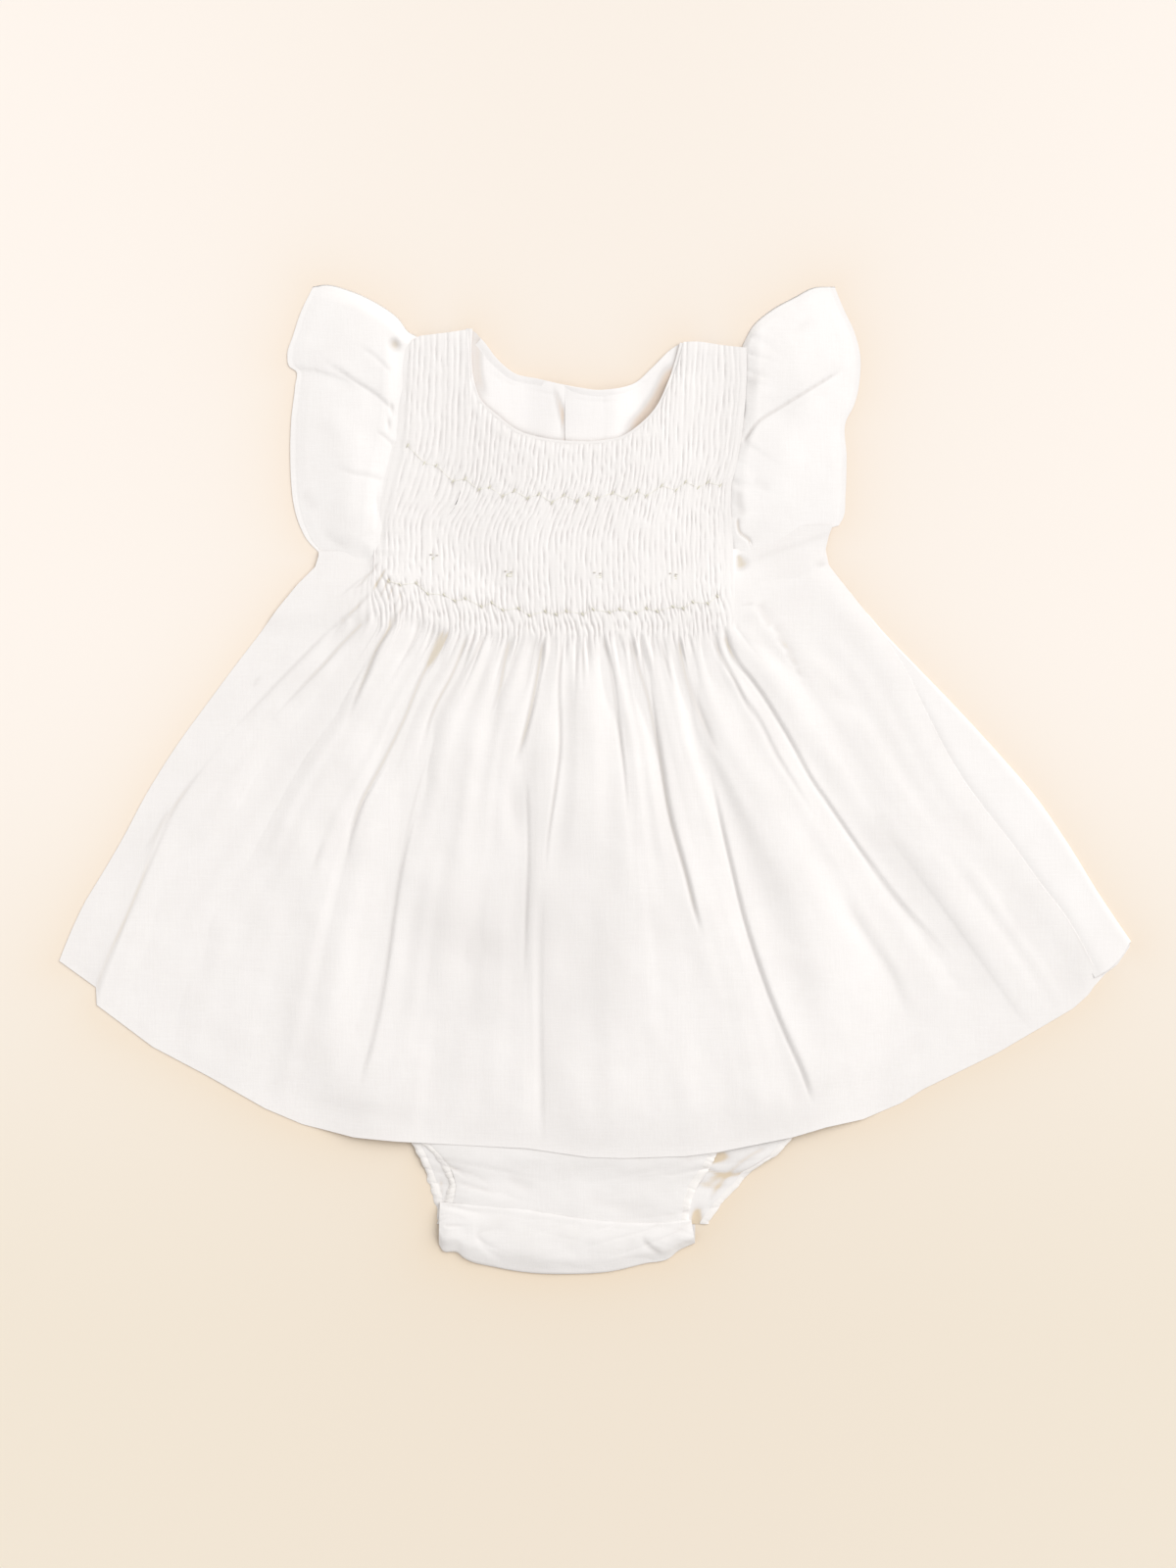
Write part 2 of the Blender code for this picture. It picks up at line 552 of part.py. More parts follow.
def make_sleeve(name, table, cloth, out):
    """A ruffled sleeve: front half over back half, joined in a fold at the shoulder.

    `out` is -1 for the sleeve on the left and 1 for the one on the right.
    """
    rows = np.asarray(table, float)
    widths = np.asarray(SLEEVE_WIDTHS)
    armhole = ARMHOLE_LEFT if out < 0 else ARMHOLE_RIGHT
    seam = along(offset_line(armhole, -out * ARMHOLE_CLEAR), rows[:, 0])
    edge, lift = rows[:, 1:3], rows[:, 3]
    bow = np.sin(math.pi * widths) ** 0.6
    front = seam[:, None] + (edge - seam)[:, None] * widths[None, :, None]
    crown = lift[:, None] * ease(widths * 1.6)[None, :] * (1 - 0.15 * widths)[None, :]
    front = np.dstack([front, SLEEVE_LOW + crown])
    front[0, :, 1] += SHOULDER_BOW * bow
    front[1, :, 1] += SECOND_BOW * bow
    turn = np.column_stack([front[0, :, 0], front[0, :, 1] + TURN, np.full(len(widths), WALL + TURN)])
    picked = list(SLEEVE_BACK_ROWS)
    inset = BACK_INSET * np.minimum(np.arange(len(picked)), 1.0)
    back_edge = edge[picked] - np.column_stack([out * inset, 0 * inset])
    back = seam[picked][:, None] + (back_edge - seam[picked])[:, None] * widths[None, :, None]
    back[0, :, 1] += SHOULDER_BOW * bow
    back[1, :, 1] += SECOND_BACK_BOW * bow
    back = np.dstack([back, np.full(back.shape[:2], WALL)])
    grid = np.concatenate([back[::-1], turn[None], front], axis=0)
    grid[:3 + len(picked), :, 1] -= WALL * np.linspace(0, 1, 3 + len(picked))[:, None]
    if out < 0:
        grid = grid[:, ::-1]
    grid_object(name, grid, cloth)


def bloomer_height(y, level):
    """Underside of a bloomer layer: over the back skirt, then down past its hem."""
    return level * LAYER - LAYER * ease((HEM_DROP[0] - y) / (HEM_DROP[0] - HEM_DROP[1]))


def make_bloomer_panel(name, left_key, right_key, level, bottom_y, cloth):
    """Front or back panel of the bloomer, between its leg casings."""
    stations = np.array([row[0] for row in BLOOMER[:-1]] + [CASING_END, bottom_y])
    across = np.linspace(0, 1, 9)
    inset = np.where(stations <= LEG_START, CASING_WIDTH + SEAM, 0.0)
    left = table_at(BLOOMER, left_key, stations) + inset
    right = table_at(BLOOMER, right_key, stations) - inset
    grid = np.zeros((len(stations), len(across), 3))
    grid[..., 0] = left[:, None] + (right - left)[:, None] * across
    grid[..., 1] = stations[:, None]
    grid[-1, :, 1] -= BOTTOM_SAG * np.sin(math.pi * across)
    grid[..., 2] = bloomer_height(grid[..., 1], level)
    grid_object(name, grid, cloth)


def make_casings(cloth):
    """Gathered leg edges of the bloomer, a narrow strip along each leg opening."""
    for layer, left_key, right_key, level in (("front", 1, 2, 2), ("back", 3, 4, 1)):
        for side, key, turn in (("left", left_key, 1), ("right", right_key, -1)):
            y = np.array([row[0] for row in BLOOMER if row[0] <= LEG_START][:-1] + [CASING_END])
            x = table_at(BLOOMER, key, y)
            grid = np.zeros((2, len(y), 3))
            grid[0, :, 0] = x + turn * CASING_WIDTH
            grid[1, :, 0] = x
            grid[:, :, 1] = y
            grid[..., 2] = bloomer_height(grid[..., 1], level)
            if turn < 0:
                grid = grid[::-1]
            grid_object(f"leg_casing_{layer}_{side}", grid, cloth)


def make_gusset(cloth):
    """Crotch gusset, folded at the bottom: its front half lies over its back half."""
    stations = np.asarray(GUSSET, float)
    shares = np.linspace(0, 1, 13)
    x, seam, fold = (np.interp(shares, stations[:, 0], stations[:, k]) for k in (1, 2, 3))
    fold_in = fold + WALL + TURN
    top = seam - 3 * SEAM
    rows = (
        (top, LAYER),
        ((top + fold_in) / 2, LAYER + GUSSET_PUFF),
        (fold_in, LAYER),
        (fold_in - TURN, WALL + TURN),
        (fold_in, WALL),
        (np.full_like(x, GUSSET_BACK_Y), WALL),
    )
    grid = np.array([np.column_stack([x, y, np.full_like(x, z)]) for y, z in rows])
    grid_object("bloomer_gusset", grid, cloth)


def make_buttons(pearl):
    """Flat two-hole buttons under the closure of the back."""
    for number, y in enumerate(BUTTON_YS, start=1):
        bpy.ops.mesh.primitive_cylinder_add(vertices=16, radius=BUTTON_RADIUS * MM,
                                            depth=BUTTON_THICKNESS * MM,
                                            location=(BUTTON_X * MM, y * MM, BUTTON_THICKNESS / 2 * MM))
        button = bpy.context.object
        button.name = f"button_{number}"
        button.data.name = button.name
        button.data.materials.append(pearl)
        for user in list(button.users_collection):
            user.objects.unlink(button)
        COLLECTION.objects.link(button)
        for side in (-1, 1):
            bpy.ops.mesh.primitive_cylinder_add(
                vertices=6, radius=BUTTON_HOLE_RADIUS * MM, depth=4 * BUTTON_THICKNESS * MM,
                location=((BUTTON_X + side * BUTTON_HOLE_OFFSET) * MM, y * MM, 0.0))
            hole = bpy.context.object
            hole.name = f"cut_{number}_{'left' if side < 0 else 'right'}"
            hole.hide_render = True
            hole.display_type = "WIRE"
            cut = button.modifiers.new("thread_hole", "BOOLEAN")
            cut.operation = "DIFFERENCE"
            cut.object = hole


def main():
    """Build every piece of the dress."""
    clear_scene()
    linen = finish("washed_linen", (0.93, 0.90, 0.86), 0.85)
    smocked = finish("smocked_linen", (0.93, 0.90, 0.86), 0.88)
    binding = finish("binding_linen", (0.94, 0.92, 0.88), 0.8)
    pearl = finish("button_pearl", (0.90, 0.88, 0.83), 0.3)
    make_front(smocked)
    make_back_skirt(linen)
    make_back_bodices(linen)
    make_neck_binding(binding)
    make_neck_facings(binding)
    make_sleeve("sleeve_left", SLEEVE_LEFT, linen, -1)
    make_sleeve("sleeve_right", SLEEVE_RIGHT, linen, 1)
    make_bloomer_panel("bloomer_back", 3, 4, 1, BACK_BOTTOM_Y, linen)
    make_bloomer_panel("bloomer_front", 1, 2, 2, FRONT_BOTTOM_Y, linen)
    make_casings(linen)
    make_gusset(linen)
    make_buttons(pearl)


main()
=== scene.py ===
"""The looks of a smocked toddler dress that lies flat with its front up.

The dress lies on the plane z = 0, +X runs to the right of the shown front and
+Y to the neck.  Every table below is in millimetres, seen from above; lengths
become metres where a mesh is made.  Each piece is a thin sheet worked out on a
grid of rows and columns, on the form that its rigid solid has in the frame.
"""

from __future__ import annotations

import logging
import math
from dataclasses import dataclass, field
from enum import Enum
from typing import Sequence

import bpy
import numpy as np
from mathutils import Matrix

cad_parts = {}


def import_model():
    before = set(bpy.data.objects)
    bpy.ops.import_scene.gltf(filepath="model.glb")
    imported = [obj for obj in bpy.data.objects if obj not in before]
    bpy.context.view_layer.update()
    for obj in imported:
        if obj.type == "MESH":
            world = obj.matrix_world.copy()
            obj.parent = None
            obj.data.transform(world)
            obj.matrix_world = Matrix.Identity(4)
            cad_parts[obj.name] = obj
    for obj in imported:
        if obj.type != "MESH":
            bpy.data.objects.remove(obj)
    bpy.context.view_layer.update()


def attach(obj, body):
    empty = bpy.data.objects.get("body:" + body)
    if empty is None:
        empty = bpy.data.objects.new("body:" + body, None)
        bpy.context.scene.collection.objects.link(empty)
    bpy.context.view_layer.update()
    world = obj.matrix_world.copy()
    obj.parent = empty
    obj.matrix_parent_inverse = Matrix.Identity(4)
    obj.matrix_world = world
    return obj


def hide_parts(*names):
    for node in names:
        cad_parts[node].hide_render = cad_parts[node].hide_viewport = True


LOG = logging.getLogger("toddler_dress")
MM = 0.001
TINY = 1e-9
LATTICE = 97  # points each way in the table of a crumple's random heights
BORDER = 0.05  # how close a border line lies to an edge, as a share of the next cell
SUNK, RAISED, SHADED = 0.28, 0.64, 0.62  # what pressing leaves of a crease's trough, lip and shade
Array = np.ndarray
Pair = tuple[Array, Array]
Triple = tuple[float, float, float]
Item = bpy.types.Object
Socket = bpy.types.NodeSocket
Line = Sequence[tuple[float, float]]
Rows = Sequence[Sequence[float]]


class Side(Enum):
    """Side of a line that runs down the dress, as seen from above."""

    LEFT = -1
    RIGHT = 1


LEFT, RIGHT = Side.LEFT, Side.RIGHT


class Rim(Enum):
    """An edge of a grid: whether its lines run down, and whether it is the first of them."""

    TOP = (False, True)
    BOTTOM = (False, False)
    LEFT = (True, True)
    RIGHT = (True, False)

    def brought_last(self, grid: Array) -> Array:
        """The grid turned so that this edge is its last row."""
        turned = grid.swapaxes(0, 1) if self.value[0] else grid
        return turned[::-1] if self.value[1] else turned

    def put_back(self, grid: Array) -> Array:
        """A grid so turned, as it lay before."""
        turned = grid[::-1] if self.value[1] else grid
        return turned.swapaxes(0, 1) if self.value[0] else turned


class Layer(Enum):
    """A panel of the bloomer, by its place in the pile."""

    BACK = 1
    FRONT = 2


class LegEdge(Enum):
    """A side edge of the bloomer: its panel, its side and its column in the outline table."""

    FRONT_LEFT = (Layer.FRONT, Side.LEFT, 1)
    FRONT_RIGHT = (Layer.FRONT, Side.RIGHT, 2)
    BACK_LEFT = (Layer.BACK, Side.LEFT, 3)
    BACK_RIGHT = (Layer.BACK, Side.RIGHT, 4)

    @property
    def layer(self) -> Layer:
        """The panel that it belongs to."""
        return self.value[0]

    @property
    def inwards(self) -> int:
        """+1 where the cloth lies to the right of the edge, -1 where it lies to the left."""
        return -self.value[1].value

    @property
    def column(self) -> int:
        """Its column in the outline table."""
        return self.value[2]


# ---- shape tools


def smooth(value: Array | float) -> Array:
    """A step from 0 to 1 that starts and ends gently: 3 v^2 - 2 v^3."""
    value = np.clip(value, 0, 1)
    return value * value * (3 - 2 * value)


def ramp(value: Array, start: float, run: float) -> Array:
    """The gentle step that starts at `start` and is whole after `run`, plus or minus."""
    return smooth((value - start) / run)


def even(count: int) -> Array:
    """Even shares from 0 to 1."""
    return np.linspace(0, 1, count)


def bell(away: Array, reach: Array | float) -> Array:
    """1 at no distance and less to both sides: exp(-(away / reach)^2)."""
    return np.exp(-((away / reach) ** 2))


def hermite(knots: Array, values: Array, at: Array) -> Array:
    """Smooth interpolation through knots.

    Each span is the cubic that meets its two end values with slopes taken from the neighbouring knots.

    Args:
        knots: rising places, one for each row of values.
        values: numbers, or rows of numbers, at the knots.
        at: the places to read.

    Returns:
        The values there, with the shape of `at` first.
    """
    knots, values, at = np.asarray(knots, float), np.asarray(values, float), np.asarray(at, float)
    slopes = np.gradient(values, knots, axis=0)
    i = np.clip(np.searchsorted(knots, at, side="right") - 1, 0, len(knots) - 2)
    width = knots[i + 1] - knots[i]
    t = np.clip((at - knots[i]) / width, 0, 1)
    extra = (1,) * (values.ndim - 1)
    t, width = t.reshape(t.shape + extra), width.reshape(width.shape + extra)
    return ((2 * t**3 - 3 * t**2 + 1) * values[i] + (t**3 - 2 * t**2 + t) * width * slopes[i]
            + (3 * t**2 - 2 * t**3) * values[i + 1] + (t**3 - t**2) * width * slopes[i + 1])


def curve(points: Line, shares: Array) -> Array:
    """A smooth curve through points.

    Args:
        points: what it passes through.
        shares: shares of its length.

    Returns:
        (shares, 2) places along it.
    """
    line = np.asarray(points, float)
    steps = np.r_[0, np.cumsum(np.linalg.norm(np.diff(line, axis=0), axis=1))]
    return hermite(steps / steps[-1], line, shares)


def beside(points: Line, distance: float) -> Array:
    """A line moved sideways.

    Args:
        points: the line.
        distance: how far, to the right of its direction.

    Returns:
        (points, 2) places.
    """
    line = np.asarray(points, float)
    ahead = np.gradient(line, axis=0)
    ahead /= np.linalg.norm(ahead, axis=1)[:, None]
    return line + distance * np.stack([ahead[:, 1], -ahead[:, 0]], axis=1)


def away_from(points: Line, x: Array, y: Array) -> Array:
    """Distance of places from a line, measured to close marks along it.

    Args:
        points: the line.
        x, y: the places.

    Returns:
        Distances in the shape of x.
    """
    marks = curve(points, even(12 * len(points)))
    spots = np.stack([x.ravel(), y.ravel()], axis=1)
    return np.sqrt(((spots[:, None] - marks[None]) ** 2).sum(-1).min(axis=1)).reshape(x.shape)


def stretched(left: Array, right: Array, top: Array, bottom: Array) -> Array:
    """A patch stretched between four edge curves.

    Point (r, c) is the blend of left and right, plus the blend of top and bottom, less the blend of the
    four corners.

    Args:
        left, right: (rows, 2) edges that run down.
        top, bottom: (columns, 2) edges that run from left to right.

    Returns:
        A (rows, columns, 2) grid.
    """
    down = even(len(left))[:, None, None]
    across = even(len(top))[None, :, None]
    sides = left[:, None] * (1 - across) + right[:, None] * across
    ends = top[None] * (1 - down) + bottom[None] * down
    corners = ((top[0] * (1 - across) + top[-1] * across) * (1 - down)
               + (bottom[0] * (1 - across) + bottom[-1] * across) * down)
    return sides + ends - corners


@dataclass(frozen=True)
class Crumple:
    """Soft random relief: random heights on a lattice, eased between its points."""

    seed: int
    across: float
    down: float
    height: float
    turn: float = 0.0

    def at(self, x: Array, y: Array) -> Array:
        """The relief: the four nearest lattice heights, eased into each other.

        Args:
            x, y: the places.

        Returns:
            Heights.
        """
        lattice = np.random.default_rng(self.seed).uniform(-1, 1, (LATTICE, LATTICE))
        u = (x * math.cos(self.turn) + y * math.sin(self.turn)) / self.across
        v = (y * math.cos(self.turn) - x * math.sin(self.turn)) / self.down
        i, j = np.floor(u).astype(int), np.floor(v).astype(int)
        f, g = smooth(u - i), smooth(v - j)
        corner = [[lattice[(i + a) % LATTICE, (j + b) % LATTICE] for b in (0, 1)] for a in (0, 1)]
        return self.height * ((corner[0][0] * (1 - f) + corner[1][0] * f) * (1 - g)
                              + (corner[0][1] * (1 - f) + corner[1][1] * f) * g)

    def mark(self, x: Array, y: Array) -> Pair:
        """Relief and no shade."""
        return self.at(x, y), np.zeros_like(x)


@dataclass(frozen=True)
class Pit:
    """A small hollow with painted shade at its bottom, longer one way than the other."""

    spot: tuple[float, float]
    size: tuple[float, float]
    depth: float
    dark: float
    turn: float = 0.0

    def mark(self, x: Array, y: Array) -> Pair:
        """Relief and shade of the hollow: a bell over the turned ellipse.

        Args:
            x, y: the places.

        Returns:
            Relief and shade.
        """
        u, v = x - self.spot[0], y - self.spot[1]
        along = (u * math.cos(self.turn) + v * math.sin(self.turn)) / self.size[0]
        over = (v * math.cos(self.turn) - u * math.sin(self.turn)) / self.size[1]
        sunk = np.exp(-(along**2 + over**2))
        return -self.depth * sunk, self.dark * sunk


@dataclass(frozen=True)
class Crease:
    """One fold of the cloth along a line.

    Across the line the cloth sinks in a trough, rises to a lip on one side that dies away over `wide`, and
    sags by `hollow` on the other side.  Its heights are those before it is pressed.

    Attributes:
        points: the line that the fold follows.
        depth, ridge: depth of the trough and height of the lip.
        narrow, wide: half width of the trough and of the soft slopes.
        fade_in, fade_out: share of the length over which it grows and dies.
        dark: how much painted shade lies at the bottom.
        side: where the lip stands.
        hollow: how far the other side sags.
        lee: how much of the painted shade spreads over that side.
    """

    points: Line
    depth: float
    ridge: float
    narrow: float
    wide: float
    fade_in: float
    fade_out: float
    dark: float
    side: Side = RIGHT
    hollow: float = 0.0
    lee: float = 0.12

    def mark(self, x: Array, y: Array) -> Pair:
        """Relief and shade of the fold.

        Args:
            x, y: the places.

        Returns:
            Relief and shade, both nothing away from the fold.
        """
        path = curve(self.points, even(4 * len(self.points)))
        reach = 3.5 * max(self.wide, self.narrow)
        low, high = path.min(0) - reach, path.max(0) + reach
        near = (x > low[0]) & (x < high[0]) & (y > low[1]) & (y < high[1])
        relief, shade = np.zeros_like(x), np.zeros_like(x)
        if near.any():
            signed, along = self._measure(path, np.stack([x[near], y[near]], axis=-1)[:, None])
            strength = self._strength(along)
            relief[near] = self._profile(signed) * strength
            trough = bell(signed, 0.8 * self.narrow)
            slope = self.lee * np.exp(-np.maximum(-signed, 0) / (0.35 * self.wide)) * (signed < 0)
            shade[near] = SHADED * self.dark * (trough + slope * (1 - trough)) * strength
        return relief, shade

    def _measure(self, path: Array, spots: Array) -> Pair:
        """How far places lie from the nearest part of a path, and where along it.

        Args:
            path: (n, 2) points of the path.
            spots: (m, 1, 2) places.

        Returns:
            Distances, plus on the lip's side, and shares of the path's length.
        """
        start, step = path[None, :-1], np.diff(path, axis=0)[None]
        size = (step**2).sum(-1)
        t = np.clip(((spots - start) * step).sum(-1) / size, 0, 1)
        away = spots - (start + t[..., None] * step)
        distance = np.linalg.norm(away, axis=-1)
        best = distance.argmin(axis=1)
        pick = (np.arange(len(best)), best)
        cross = step[0, best, 0] * away[pick][:, 1] - step[0, best, 1] * away[pick][:, 0]
        lengths = np.sqrt(size[0])
        along = (np.cumsum(lengths)[best] - lengths[best] * (1 - t[pick])) / lengths.sum()
        return np.where(cross >= 0, 1, -1) * distance[pick] * self.side.value, along

    def _profile(self, signed: Array) -> Array:
        """Height across the fold: a bell down, a rise that dies away, and a bell down beyond."""
        over, under = np.maximum(signed, 0), np.maximum(-signed, 0)
        foot = 0.7 * self.narrow + 0.04 * self.wide
        trough = -SUNK * self.depth * bell(signed, self.narrow)
        lip = RAISED * self.ridge * (1 - bell(over, foot)) * np.exp(-over / self.wide)
        sag = -self.hollow * bell(under, self.wide) * (signed < 0)
        return trough + lip + sag

    def _strength(self, along: Array) -> Array:
        """Growth and decay at shares of the fold's length."""
        grown = smooth((along + 1e-6) / self.fade_in) if self.fade_in > 0 else 1
        return grown * (smooth((1 - along + 1e-6) / self.fade_out) if self.fade_out > 0 else 1)


Folds = tuple[Crumple | Pit | Crease, ...]


@dataclass
class Cloth:
    """Cloth being shaped: the place, height and painted shade of every grid point."""

    x: Array
    y: Array
    z: Array
    shade: Array | float = 0

    def __post_init__(self) -> None:
        """Give every part the same shape."""
        parts = np.broadcast_arrays(self.x, self.y, self.z, self.shade)
        self.x, self.y, self.z, self.shade = (np.array(part, float) for part in parts)

    def press(self, *folds: Crumple | Pit | Crease, share: Array | float = 1.0) -> "Cloth":
        """Press folds in one after the other, each by a share of its depth."""
        for fold in folds:
            relief, shade = fold.mark(self.x, self.y)
            self.z += relief * share
            self.shade += shade * share
        return self

    def grid(self) -> Array:
        """A (rows, columns, 4) grid of x, y, z and shade."""
        return np.stack([self.x, self.y, self.z, np.clip(self.shade, 0, 1)], axis=-1)


def billow(seed: int, across: float, down: float, x: Array, y: Array) -> Array:
    """Rounded lobes with sharp valleys between them, from 0 to about 1."""
    return np.clip(1.6 * np.abs(Crumple(seed, across, down, 1).at(x, y)), 0, 1) ** 0.7


# ---- mesh makers


def bordered(grid: Array) -> Array:
    """A grid with one more line close inside each edge, so that its shading stays straight up to it.

    Args:
        grid: (rows, columns, 4) points and shade.

    Returns:
        The grid with two more rows and two more columns.
    """
    for _ in range(2):
        first = grid[:1] + BORDER * (grid[1:2] - grid[:1])
        last = grid[-1:] + BORDER * (grid[-2:-1] - grid[-1:])
        grid = np.concatenate([grid[:1], first, grid[1:-1], last, grid[-1:]]).swapaxes(0, 1)
    return grid


def rolled(grid: Array, edge: Rim, wall: float) -> Array:
    """A grid with one edge rolled down over the cloth's thickness.

    A line close inside the edge keeps the shading straight.  Three lines follow the edge: half way down and
    proud of it, at the bottom right below it, and at the bottom a little inside.

    Args:
        grid: (rows, columns, 4) points and shade.
        edge: the edge that rolls.
        wall: how far down the roll goes.

    Returns:
        The grid with four more rows or columns.
    """
    turned = edge.brought_last(grid)
    out = turned[-1] - turned[-2]
    out[:, 2:] = 0
    out /= np.maximum(np.linalg.norm(out, axis=1), TINY)[:, None]
    down = np.array([0, 0, -wall, 0])
    border = turned[-1:] + BORDER * (turned[-2:-1] - turned[-1:])
    roll = np.stack([turned[-1] + 0.1 * min(wall, 1) * out + 0.45 * down, turned[-1] + down,
                     turned[-1] - 1.6 * out + down])
    return edge.put_back(np.concatenate([turned[:-1], border, turned[-1:], roll]))


def sheet_object(name: str, grid: Array, finish: "Finish | bpy.types.Material",
                 shown: Array | None = None) -> Item:
    """A sheet of cloth from a grid whose rows run down and columns to the right.

    Neighbouring points make quads that face up.  The map "cloth" holds the distance along the rows and
    columns, in metres; the attribute "shade" holds how much painted shade lies at each point.

    Args:
        name: the object's name.
        grid: (rows, columns, 3 or 4) points in millimetres, and shade.
        finish: what it is dressed in, a finish or a material.
        shown: (rows, columns) mask of the points to keep, or None for all.

    Returns:
        The object, at the origin.
    """
    rows, columns = grid.shape[:2]
    index = np.arange(rows * columns).reshape(rows, columns)
    quads = np.stack([index[1:, :-1], index[1:, 1:], index[:-1, 1:], index[:-1, :-1]], axis=-1)
    quads = quads.reshape(-1, 4)
    points = grid[..., :3].reshape(-1, 3)
    shade = grid[..., 3].ravel() if grid.shape[2] == 4 else np.zeros(len(points))
    across = np.cumsum(np.r_[0, np.linalg.norm(np.diff(grid[rows // 2, :, :3], axis=0), axis=1)])
    down = np.cumsum(np.r_[0, np.linalg.norm(np.diff(grid[:, columns // 2, :3], axis=0), axis=1)])
    flat = np.stack(np.broadcast_arrays(across[None, :], -down[:, None]), axis=-1).reshape(-1, 2)
    if shown is not None:
        quads = quads[shown.reshape(-1)[quads].all(axis=1)]
        used = np.unique(quads)
        renumber = np.zeros(len(points), int)
        renumber[used] = np.arange(len(used))
        quads, points, flat, shade = renumber[quads], points[used], flat[used], shade[used]
    mesh = bpy.data.meshes.new(name)
    mesh.vertices.add(len(points))
    mesh.vertices.foreach_set("co", (points * MM).astype(np.float32).ravel())
    mesh.loops.add(quads.size)
    mesh.loops.foreach_set("vertex_index", quads.astype(np.int32).ravel())
    mesh.polygons.add(len(quads))
    mesh.polygons.foreach_set("loop_start", np.arange(0, quads.size, 4, dtype=np.int32))
    mesh.polygons.foreach_set("use_smooth", np.ones(len(quads), bool))
    mesh.update(calc_edges=True)
    layer = mesh.uv_layers.new(name="cloth")
    layer.data.foreach_set("uv", (flat[quads.ravel()] * MM).astype(np.float32).ravel())
    mesh.attributes.new("shade", "FLOAT", "POINT").data.foreach_set("value", shade.astype(np.float32))
    item = bpy.data.objects.new(name, mesh)
    bpy.context.scene.collection.objects.link(item)
    mesh.materials.append(finish.material() if isinstance(finish, Finish) else finish)
    return item


def thicken(item: Item, wall: float) -> Item:
    """Give a sheet its cloth thickness in millimetres, downwards, with a live modifier."""
    solidify = item.modifiers.new("wall", "SOLIDIFY")
    solidify.thickness = wall * MM
    solidify.offset = -1
    return item


def area_of(item: Item) -> float:
    """Surface of a mesh in square metres."""
    areas = np.zeros(len(item.data.polygons))
    item.data.polygons.foreach_get("area", areas)
    return float(areas.sum())


def thread_grid(path: Array, radius: float, sides: int = 6) -> Array:
    """A thread: a ring of points carried along a path and drawn in at both ends.

    Ring point k stands off the path by radius * (cos, sin) of its angle, in the two directions square to
    the path.

    Args:
        path: (n, 3) points of the middle line.
        radius: of the thread.
        sides: points in a ring.

    Returns:
        A (n, sides + 1, 3) grid.
    """
    ahead = np.gradient(path, axis=0)
    ahead /= np.maximum(np.linalg.norm(ahead, axis=1), TINY)[:, None]
    across = np.cross(ahead, [0, 0, 1])
    across /= np.maximum(np.linalg.norm(across, axis=1), TINY)[:, None]
    up = np.cross(across, ahead)
    angles = np.linspace(0, 2 * math.pi, sides + 1)
    ring = across[:, None] * np.cos(angles)[None, :, None] + up[:, None] * np.sin(angles)[None, :, None]
    grow = np.full(len(path), radius)
    grow[[0, -1]] = 0.02
    return path[:, None] + grow[:, None, None] * ring


def joined(name: str, items: Sequence[Item]) -> Item:
    """Several objects made one, under a new name."""
    with bpy.context.temp_override(active_object=items[0], selected_editable_objects=list(items)):
        bpy.ops.object.join()
    items[0].name = items[0].data.name = name
    return items[0]


# ---- finishes


class Nodes:
    """A short hand for laying out one node tree."""

    def __init__(self, tree: bpy.types.NodeTree) -> None:
        """Keep the tree."""
        self.tree = tree

    def add(self, kind: str, /, **inputs: object) -> bpy.types.Node:
        """A node with its properties and inputs set by name.

        Args:
            kind: type of the node.
            inputs: properties and inputs: a socket is linked, a value is set, and in0 and in1 are inputs
                by number.

        Returns:
            The node.
        """
        node = self.tree.nodes.new(kind)
        for key in [key for key in inputs if hasattr(node, key)]:
            setattr(node, key, inputs.pop(key))
        for key, value in inputs.items():
            name = int(key[2:]) if key in ("in0", "in1") else key.replace("_", " ")
            self.put(value, node.inputs[name])
        return node

    def put(self, value: object, socket: Socket) -> None:
        """Link a socket, or set its own value."""
        if isinstance(value, Socket):
            self.tree.links.new(value, socket)
        else:
            socket.default_value = value

    def maths(self, operation: str, first: object, second: object) -> Socket:
        """One sum of two values."""
        return self.add("ShaderNodeMath", operation=operation, in0=first, in1=second).outputs[0]

    def plus(self, total: object, value: object, amount: object) -> Socket:
        """A total with an amount of a value added."""
        return self.maths("ADD", total, self.maths("MULTIPLY", value, amount))

    def mixed(self, factor: object, first: object, second: object, blend: str = "MIX") -> Socket:
        """Two colours mixed.

        Args:
            factor: share of the second.
            first, second: sockets, or colours without alpha.
            blend: how they mix.

        Returns:
            The mixed colour.
        """
        node = self.add("ShaderNodeMix", data_type="RGBA", blend_type=blend)
        self.put(factor, node.inputs[0])
        for value, socket in ((first, node.inputs[6]), (second, node.inputs[7])):
            self.put((*value, 1) if isinstance(value, tuple) else value, socket)
        return node.outputs[2]

    def ranged(self, value: object, low: float, high: float) -> Socket:
        """A value brought from low..high to 0..1, gently."""
        node = self.add("ShaderNodeMapRange", interpolation_type="SMOOTHSTEP", Value=value)
        node.inputs[1].default_value, node.inputs[2].default_value = low, high
        return node.outputs[0]


def plain_material(name: str, roughness: float, specular: float) -> bpy.types.Material:
    """A new material with one plain shader."""
    material = bpy.data.materials.new(name)
    material.use_nodes = True
    inputs = material.node_tree.nodes["Principled BSDF"].inputs
    inputs["Roughness"].default_value, inputs["Specular IOR Level"].default_value = roughness, specular
    return material


